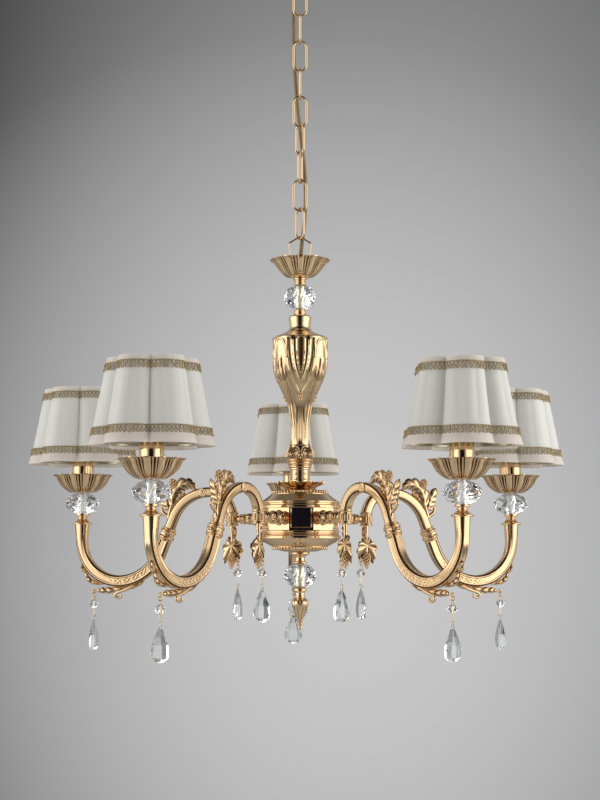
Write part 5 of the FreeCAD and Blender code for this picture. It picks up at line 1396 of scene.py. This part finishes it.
# %% Covers of the hub
TOP_COVER = [
    (48.3, -3), (50.4, -2.8), (50.5, 0.2), (49.6, 0.9), (48.6, 1.3), (48.3, 3), (49.2, 3.5), (49.3, 5.4),
    (48, 6.1), (45, 8), (40.6, 11), (37.2, 13.6), (35.8, 14.4), (35.9, 15.4), (35, 16), (30.4, 16.2),
    (29.4, 17), (24.6, 18.4), (20.6, 20.2), (17.6, 21.6), (15.2, 22),
]
TOP_INSIDE = [
    (5.4, 22), (5.4, 20), (13, 19.4), (25, 15.8), (31, 12.8), (41.6, 7.6), (44.6, 5), (44.6, 0.02),
    (48.28, 0.02),
]
BOTTOM_COVER = [
    (15.2, 0), (20, 0.3), (25.4, 1.6), (27.4, 2.6), (29.2, 3.3), (30.6, 4.6), (34, 5), (34.6, 5.6),
    (34.2, 6.4), (37.6, 7.9), (43.6, 11.2), (47.8, 14.4), (49.6, 15.4), (50.5, 16), (50.5, 18.6),
    (49.8, 19.2), (50.1, 19.6), (49.9, 20.2), (48.4, 20.6), (47.4, 21.4), (47.4, 22.2), (48.8, 22.8),
    (48.8, 25), (47.6, 25.8), (46, 26),
]
BOTTOM_INSIDE = [
    (44.6, 26), (44.6, 20.4), (43.6, 18.4), (36, 11), (30, 8.4), (24, 4.4), (14, 2), (5.4, 2), (5.4, 0),
]
# name: outline, inside, petals, and the height and size of the beads
COVERS = {
    "top": (TOP_COVER, TOP_INSIDE, spokes(16, 16, 27, 0.9), 17.4, 2.0),
    "bottom": (BOTTOM_COVER, BOTTOM_INSIDE, spokes(16, 14, 29, 1.0), 4.4, 1.9),
}
BEAD_COUNT, BEAD_RING = 46, 33
for name, (outline, inside, petals, level, size) in COVERS.items():
    foot = low(f"hub_{name}_cover")[2]
    cover = turning(outline, foot, columns=128, relief=petals, inside=inside)
    ring = beads(BEAD_COUNT, BEAD_RING, level, size).moved(lifted(foot))
    brass_piece(f"{name}_cover_turning", [cover, ring], turned_brass, [f"hub_{name}_cover"], crease=30)
print("beads", BEAD_COUNT * len(COVERS))

# %% [markdown]
# The tube stands in a collar of ten leaves. Each leaf could be placed by itself, but the casting is one
# ring. A leaf's edge is a large wave, which parts the leaves, with a fast small wave for its teeth, and
# the veins are a wave in the height.

# %% Column tube with its leaf collar
def leaf_crown(count, root, tip, rise, wall=1.3, teeth=4, columns=400, steps=14):
    """A ring of leaves: the reach of each point is a share of the way from the root to the tip, 0.62 + 0.38
    |cos| to the power 0.7, less the small wave for the teeth.  The tips curl over."""
    angle = full_turn(columns)[None, :]
    part = np.abs(np.cos(count / 2 * angle))
    notches = np.abs(np.sin(teeth * count * angle / 2)) ** 0.8 * (part > 0.12)
    reach = 0.62 + 0.38 * part**0.7 - 0.075 * notches
    t = np.linspace(0, 1, steps)[:, None]
    curve = smooth([(0, 0), (0.36, 0.24), (0.74, 0.66), (0.93, 0.95), (1, 1)], steps)
    veins = 0.34 * np.cos(teeth * count * angle) * np.sin(np.pi * t) + 0.5 * (part**2 - 0.5) * t
    wide = root + (tip - root) * curve[:, :1] * reach
    under = rise * curve[:, 1:] * (0.55 + 0.45 * reach) + veins * 0.8
    over = under + wall * (1 - 0.55 * t) + 0.2
    dark = np.clip(unit(0.75 - 1.5 * part) + 0.45 * (veins < -0.12), 0, 0.9)
    up = np.vstack([under, over[::-1]])
    wide, dark = (np.vstack([one, one[::-1]]) for one in (wide, dark))
    return skin(spun(wide, angle, up) * MM, loop=True, depth=dark)


def tube_relief(wide, up, angle):
    """Rows of oval bosses up the tube."""
    oval = unit(np.cos(6 * angle)) ** 2 * unit(np.sin(2 * np.pi * (up - 10) / 6.5))
    here = (up > 10) * (up < 22) * (wide > 12)
    return 0.45 * oval * here - 0.2 * here, here * unit(0.5 - 1.4 * oval) * 0.5


TUBE = [
    (13.4, 0), (14.6, 0.3), (14.8, 2.2), (13.4, 2.8), (13.2, 5), (14.2, 5.6), (14.2, 7.4), (12.4, 8.2),
    *[(12.3, height) for height in np.linspace(9.2, 22.6, 44)], (13.2, 23.2), (13.2, 25),
]
tube_foot = low("column_tube")[2]
tube = turning(TUBE, tube_foot, bore=10, relief=tube_relief, columns=144, radius=0.2)
collar = leaf_crown(10, 13.6, 33.6, 7.0).moved(lifted(tube_foot + 0.3 * MM))
brass_piece("column_tube_leaves", [tube, collar], painted_lit_brass, ["column_tube"], crease=45)
print("tube points", len(tube.points), "collar points", len(collar.points))

# %% [markdown]
# Leaves overlap on the knop like scales. Separate scales would need many small meshes that cut into each
# other. As relief they cost nothing: nested arches about each leaf's root give its veins, and the second
# row of leaves is set between those of the first.

# %% Knop with overlapping leaves
def knop_relief(wide, up, angle):
    """Nested arches: a wave in the distance from each leaf's root, in two rows of leaves."""
    swell, dark = 0 * wide * angle, 0 * wide * angle
    for foot, tall, shift in ((11.8, 13.5, 0.0), (19.5, 9.5, np.pi / 8)):
        turn = np.mod(angle - shift + np.pi / 8, np.pi / 4) - np.pi / 8
        way = np.sqrt((turn / (np.pi / 8)) ** 2 + (np.maximum(up - foot, 0) / tall) ** 2)
        inside = (way < 1) * (up > foot - 0.6)
        arches = np.cos(2 * np.pi * 2.6 * way)
        swell = np.where(inside, 0.55 * arches + 0.5 * way, swell)
        dark = np.where(inside, np.clip(0.2 - arches, 0, 0.85), dark)
    keep = (up > 11.4) * (up < 28.6)
    return swell * keep, dark * keep


KNOP = [
    (12.5, 0), (13.2, 0.2), (14.2, 1), (14.4, 2.2), (13.9, 3.2), (13.4, 3.7), (14.6, 4.4), (15.4, 5.6),
    (15.2, 6.8), (14.2, 7.4), (15.4, 8.1), (16.5, 9.2), (16.4, 10.4), (15.2, 11.2), (15.6, 11.8),
    *smooth([(15.9, 12.4), (17.0, 15.5), (16.9, 19), (15.2, 22.5), (13.4, 25.4), (12.8, 28)], 40),
    (13.2, 28.6), (12, 29),
]
knop = turning(KNOP, low("knop")[2], relief=knop_relief, columns=192, radius=0.3)
brass_piece("knop_leaves", knop, cast_brass, ["knop"], crease=50)
print("knop points", len(knop.points))

# %% [markdown]
# Plain rings and caps lie between the balls and hold them on the rod. Each is a turning without relief, so
# a table with the node, the outline and the finish is all that they need.

# %% Rings and caps between the balls
RING = [
    (6.6, 0), (7.6, 0.2), (7.6, 1.7), (6.6, 2.1), (6.3, 3.2), (7.2, 3.7), (7.2, 4.9), (6.3, 5.4), (6.4, 6),
    (8.2, 6.4), (8.3, 8.2), (6.4, 8.4),
]
NECK_CAP = [
    (12.6, 0), (12.9, 1.2), (13.1, 4), (13.9, 8), (14.3, 11), (14, 12.9), (12.6, 14.3), (10, 15.2),
    (7, 15.7), (6.4, 16.1), (6.3, 17), (7.7, 17.5), (7.8, 19.3), (6.5, 19.8), (6.4, 20.4), (7.4, 20.7),
    (7.3, 21.7), (6.2, 21.8),
]
LOWER_COLLAR = [
    (8, 0), (8.7, 0.2), (8.8, 1.6), (7.6, 2.1), (6.3, 2.6), (6, 4.5), (6, 7), (6.6, 8.4), (8.4, 9.6),
    (8.6, 10.3), (10.4, 10.6), (11.8, 11.4), (11.9, 13.2), (10.8, 14),
]
# name: node, outline, radius of its rounded corners, finish
RINGS = {
    "collar_turning": ("collar_rings", RING, 0.35, turned_brass),
    "neck_cap_turning": ("neck_cap", NECK_CAP, 0.5, painted_lit_brass),
    "lower_collar_turning": ("lower_collar", LOWER_COLLAR, 0.4, turned_brass),
}
for name, (node, outline, corner, finish) in RINGS.items():
    brass_piece(name, turning(outline, low(node)[2], radius=corner), finish, [node], crease=40)
print("rings and caps:", *RINGS)

# %% [markdown]
# The finial is a bud: leaves over a fluted tip, with a ball below. It could be sculpted like the leaves of
# the arm, but it is eight times the same round its axis, which a wave in the angle does best. It is
# screwed on the rod, so it keeps the socket in its head.

# %% Finial
def finial_relief(wide, up, angle):
    """Flutes under the widest place and rounded leaves above it, both eight round."""
    fluted = np.abs(np.cos(4 * angle)) ** 0.6
    lower = bell(up - 20, 9) * (up < 30.5)
    upper = unit(1 - np.abs(up - 34) / 4.4) ** 0.5
    leaves = np.abs(np.sin(4 * angle)) ** 0.5
    swell = lower * 0.15 * wide * (fluted - 1) + 0.8 * upper * (leaves - 1)
    return swell, np.clip(lower * (0.85 - 1.3 * fluted) + upper * (0.8 - 1.2 * leaves), 0, 0.9)


def chased(profile, radius, foot, relief, plain=0):
    """A turning without a bore, with a relief on all its rows but the last plain ones."""
    outline = rounded(profile, radius)
    swell, dark = relief(outline[:, :1], outline[:, 1:], full_turn(96)[None, :])
    swell[len(outline) - plain:] = 0
    return turned(outline, foot, 96, swell=swell, depth=dark)


FINIAL = [
    (0.3, 0), (1.7, 0.3), (2.6, 1.6), (2.7, 3), (2, 4.6), (1.7, 5.4), (2.4, 5.9), (3.6, 6.6), (3.7, 7.8),
    (2.6, 8.6), *smooth([(2.8, 9.4), (3.6, 13), (5.8, 18.6), (8.2, 24), (9.6, 28.4), (10, 30)], 44),
    (10.9, 30.8), (11, 31.8), (10.9, 33), (10.4, 34.8), (9.2, 36.6), (7.4, 38), (6.2, 38.8), (6.7, 39.6),
    (6.8, 41), (5.8, 41.5), (5.6, 42.6), (5.7, 45), (6.6, 46.4), (8, 47.4), (8.1, 49.6), (7.4, 51),
    (5.2, 51), (5.2, 41), (0.3, 41),
]
SOCKET_ROWS = 12
bud = chased(FINIAL, 0.3, low("finial")[2], finial_relief, plain=SOCKET_ROWS)
brass_piece("finial_bud", bud, cast_brass, ["finial"], crease=45)
print("finial points", len(bud.points))

# %% [markdown]
# ## Spigots and lamp flanges
# The spigot carries the arm. A rosette of leaves closes it against the hub's panel, and a row of rings
# leads to the barrel. It is turned like the finial and then laid on its side, because a profile is easiest
# to read when it stands. The flange under each crystal ball is plain.

# %% Spigots and flanges
SPIGOT = [
    (5, 0), (9.4, 0.1), (9.6, 1.2), (8.8, 2.2), (7.4, 3.2), (6.2, 4.6), (5.4, 6.4), (5, 8.6), (5.2, 10.4),
    (7.4, 11), (8.4, 12.2), (8.4, 13.6), (7.2, 14.6), (6.4, 15.2), (6.6, 16.6), (6.9, 19.4), (6.4, 22.4),
    (5.6, 23.4), (5.2, 24.2), (6.8, 25), (6.9, 26.6), (5.4, 27.6), (5.2, 28.6), (6.4, 29.4), (6.4, 30.6),
    (5.2, 31.6), (4.6, 32.6), (4.5, 34.4),
]
FLANGE = [
    (0.3, 0), (12.2, 0), (12.8, 0.5), (12.8, 1.7), (12, 2.3), (10.6, 2.6), (9.2, 3.3), (8, 4.6), (6.9, 6),
    (5.7, 6.6), (5.3, 7.4), (6.2, 7.9), (6.2, 9.1), (5.4, 9.6), (5.5, 10.4), (8.4, 11), (8.6, 13.1),
    (8.2, 13.5), (4.2, 13.5), (4.2, 8.3), (0.3, 8.3),
]
DRUM_FACE = 45.6 * MM


def spigot_relief(wide, up, angle):
    """Eight leaves on the rosette, and twelve ribs on the barrel between the rings."""
    rosette = bell(up - 1.5, 2.6) * (up < 6)
    petals = np.abs(np.cos(4 * angle)) ** 0.5
    ribs = np.cos(12 * angle) * bell(up - 19, 3.4)
    dark = rosette * 1.4 * (0.65 - petals) + 0.5 * (ribs < -0.3)
    return 1.5 * rosette * (petals - 1) + 0.35 * ribs, np.clip(dark, 0, 0.9)


at_drum = arm_places @ places([DRUM_FACE, 0, hub])
spigots = chased(SPIGOT, 0.3, 0, spigot_relief).moved(at_drum @ rotation(np.pi / 2, "Y"))
brass_piece("arm_spigot_castings", spigots, cast_brass, ["arm_spigots"], crease=45)
flanges = turned(rounded(FLANGE, 0.25), low("lamp_flanges")[2]).moved(lamp_places)
brass_piece("lamp_flange_turnings", flanges, turned_brass, ["lamp_flanges"], crease=40)
print("spigot points", len(spigots.points), "flange points", len(flanges.points))

# %% [markdown]
# ## Panels of the drum
# Each face between two arms carries a polished plate in a thin raised frame. A bump map would bend what it
# mirrors, but the real plate is flat: from the front it mirrors the dark side of the room, and the round
# frame stays a bright line about it.

# %% Plates and frames
PANEL_HALF, PANEL_FLOOR, PLATE_FACE, BEVEL = 11.9, 44.45, 45.3, 0.2


def square_line(reach, half, corner, count):
    """A square with round corners, from the superellipse of power 2 / corner in the plane across X."""
    angle = full_turn(count)
    wide, up = (half * np.sign(wave) * np.abs(wave) ** corner for wave in (np.cos(angle), np.sin(angle)))
    return np.stack([np.full(count, reach), wide, up], -1) * MM


edges = [(PANEL_FLOOR, PANEL_HALF), (PLATE_FACE - BEVEL, PANEL_HALF), (PLATE_FACE, PANEL_HALF - BEVEL)]
plate = skin(np.stack([square_line(reach, half, 0.08, 64) for reach, half in edges]))
rim = wire(square_line(PLATE_FACE + 0.1, PANEL_HALF + 0.4, 0.12, 96), 0.75 * MM, 8, closed=True)
at_panels = places(np.zeros((ARM_COUNT, 3)), arm_turns + np.pi) @ lifted(hub)
brass_piece("drum_plates", plate.moved(at_panels), mirror_brass, crease=20)
brass_piece("drum_plate_frames", rim.moved(at_panels), turned_brass)
print("plates", len(at_panels))

# %% [markdown]
# ## Cut crystal
# A cut ball is ground with flat faces in a few rings. An icosphere has facets too, but all of one size.
# Here every second ring of points is turned by half a step, so that the faces between them become slanting
# triangles, and they stay flat because the shading is not smoothed.

# %% Balls
def cut_glass(radius, tall, bore, rows=6, columns=12):
    """Rings at slopes s from -72 to 72 degrees: the radius is R cos s, and the height goes as sin s.  The
    first and the last ring are the bore's, so that the hole runs up the middle."""
    steepest = math.radians(72)
    slope = steepest * np.linspace(-1, 1, rows)[:, None]
    turn = 2 * np.pi * (np.arange(columns) + 0.5 * (np.arange(rows)[:, None] % 2)) / columns
    wide = np.vstack([[[bore]], radius * np.cos(slope), [[bore]]])
    up = np.vstack([[[0]], tall / 2 * (1 + np.sin(slope) / math.sin(steepest)), [[tall]]])
    turn = np.vstack([turn[:1], turn, turn[-1:]])
    return skin(spun(wide, turn, up) * MM, loop=True)


for name in ("upper_ball", "lower_ball"):
    ball = cut_glass(20.5, (high(name) - low(name))[2] / MM, 5.5).moved(lifted(low(name)[2]))
    piece(f"{name}_cut", ball, crystal, "frame", [name], flat=True)
lamp_balls = cut_glass(22.5, 26.5, 4.4).moved(lamp_places @ lifted(low("lamp_balls")[2]))
piece("lamp_balls_cut", lamp_balls, crystal, "frame", ["lamp_balls"], flat=True)
print("one ball has", len(ball.points), "points")

# %% [markdown]
# ## Crystal strands
# A ring in the casting's eye carries a looped pin through a bead, and the pin's lower loop carries a flat
# almond shaped drop. The drop could be cut from a block by planes. A section carried down its outline is
# shorter: a flat table in front and behind, so most of it shows what is behind it, and slanting facets
# that catch the light.

# %% Bead, drop and pins
DROP = [
    (0.08, -35.1), (0.26, -38), (0.58, -46), (0.86, -55), (1, -62), (0.87, -68.2), (0.52, -72.4),
    (0.14, -73.5),
]
DROP_SECTION = [(1, -0.5), (1, 0.5), (0.2, 1), (-0.2, 1), (-1, 0.5), (-1, -0.5), (-0.2, -1), (0.2, -1)]
DROP_THICK, DROP_WIDE, PIN = 4.4, 12.6, 0.45
share, up = np.array(DROP).T[:, :, None]
thick, wide = np.array(DROP_SECTION).T[:, None, :]
drop_grid = [DROP_THICK * np.minimum(1, 1.3 * share) * thick, DROP_WIDE * share * wide, up]
drop = skin(np.stack(np.broadcast_arrays(*drop_grid), -1) * MM)


def hoop(middle, radius, thick, facing):
    """A wire ring below the eye.  It faces outwards or sideways: its circle lies across that way."""
    turn = full_turn(24)
    across, up, none = radius * np.sin(turn), middle + radius * np.cos(turn), 0 * turn
    path = np.stack([none, across, up] if facing == "out" else [across, none, up], -1)
    return wire(path * MM, thick * MM, 8, closed=True)


bead = cut_glass(6.2, 10, 0.8, 5, 8).moved(lifted(-20.5 * MM))
glass = joined([bead, drop, hoop(-33.8, 2.0, 0.85, "out")])
shank = wire(np.linspace((0, 0, -10.1), (0, 0, -29.0), 8) * MM, PIN * MM, 8)
hoops = [hoop(-3.2, 3.2, PIN, "out"), hoop(-7.72, 2.4, PIN, "side"), hoop(-31.4, 2.4, PIN, "side")]
metal = joined([*hoops, shank])
print("one strand has", len(glass.points), "points of crystal")

# %% [markdown]
# Five strands hang from the eyes under the bends, and five from the eyes of the vine leaves. Each swings
# by itself in its eye, so each is a body with its own two pieces, crystal and brass.

# %% The ten strands
for number in range(1, 2 * ARM_COUNT + 1):
    eye = outer_eye if number <= ARM_COUNT else inner_eye
    place = at_hub[(number - 1) % ARM_COUNT] @ places(upright(eye) * MM)
    body = f"strand_{number}"
    piece(f"crystal_{number}", glass.moved(place), crystal, body, [body], flat=True)
    piece(f"pins_{number}", metal.moved(place), turned_brass, body)
print("strands", number)

# %% [markdown]
# ## Close
# In places the ornament stands out a little further than the solid.
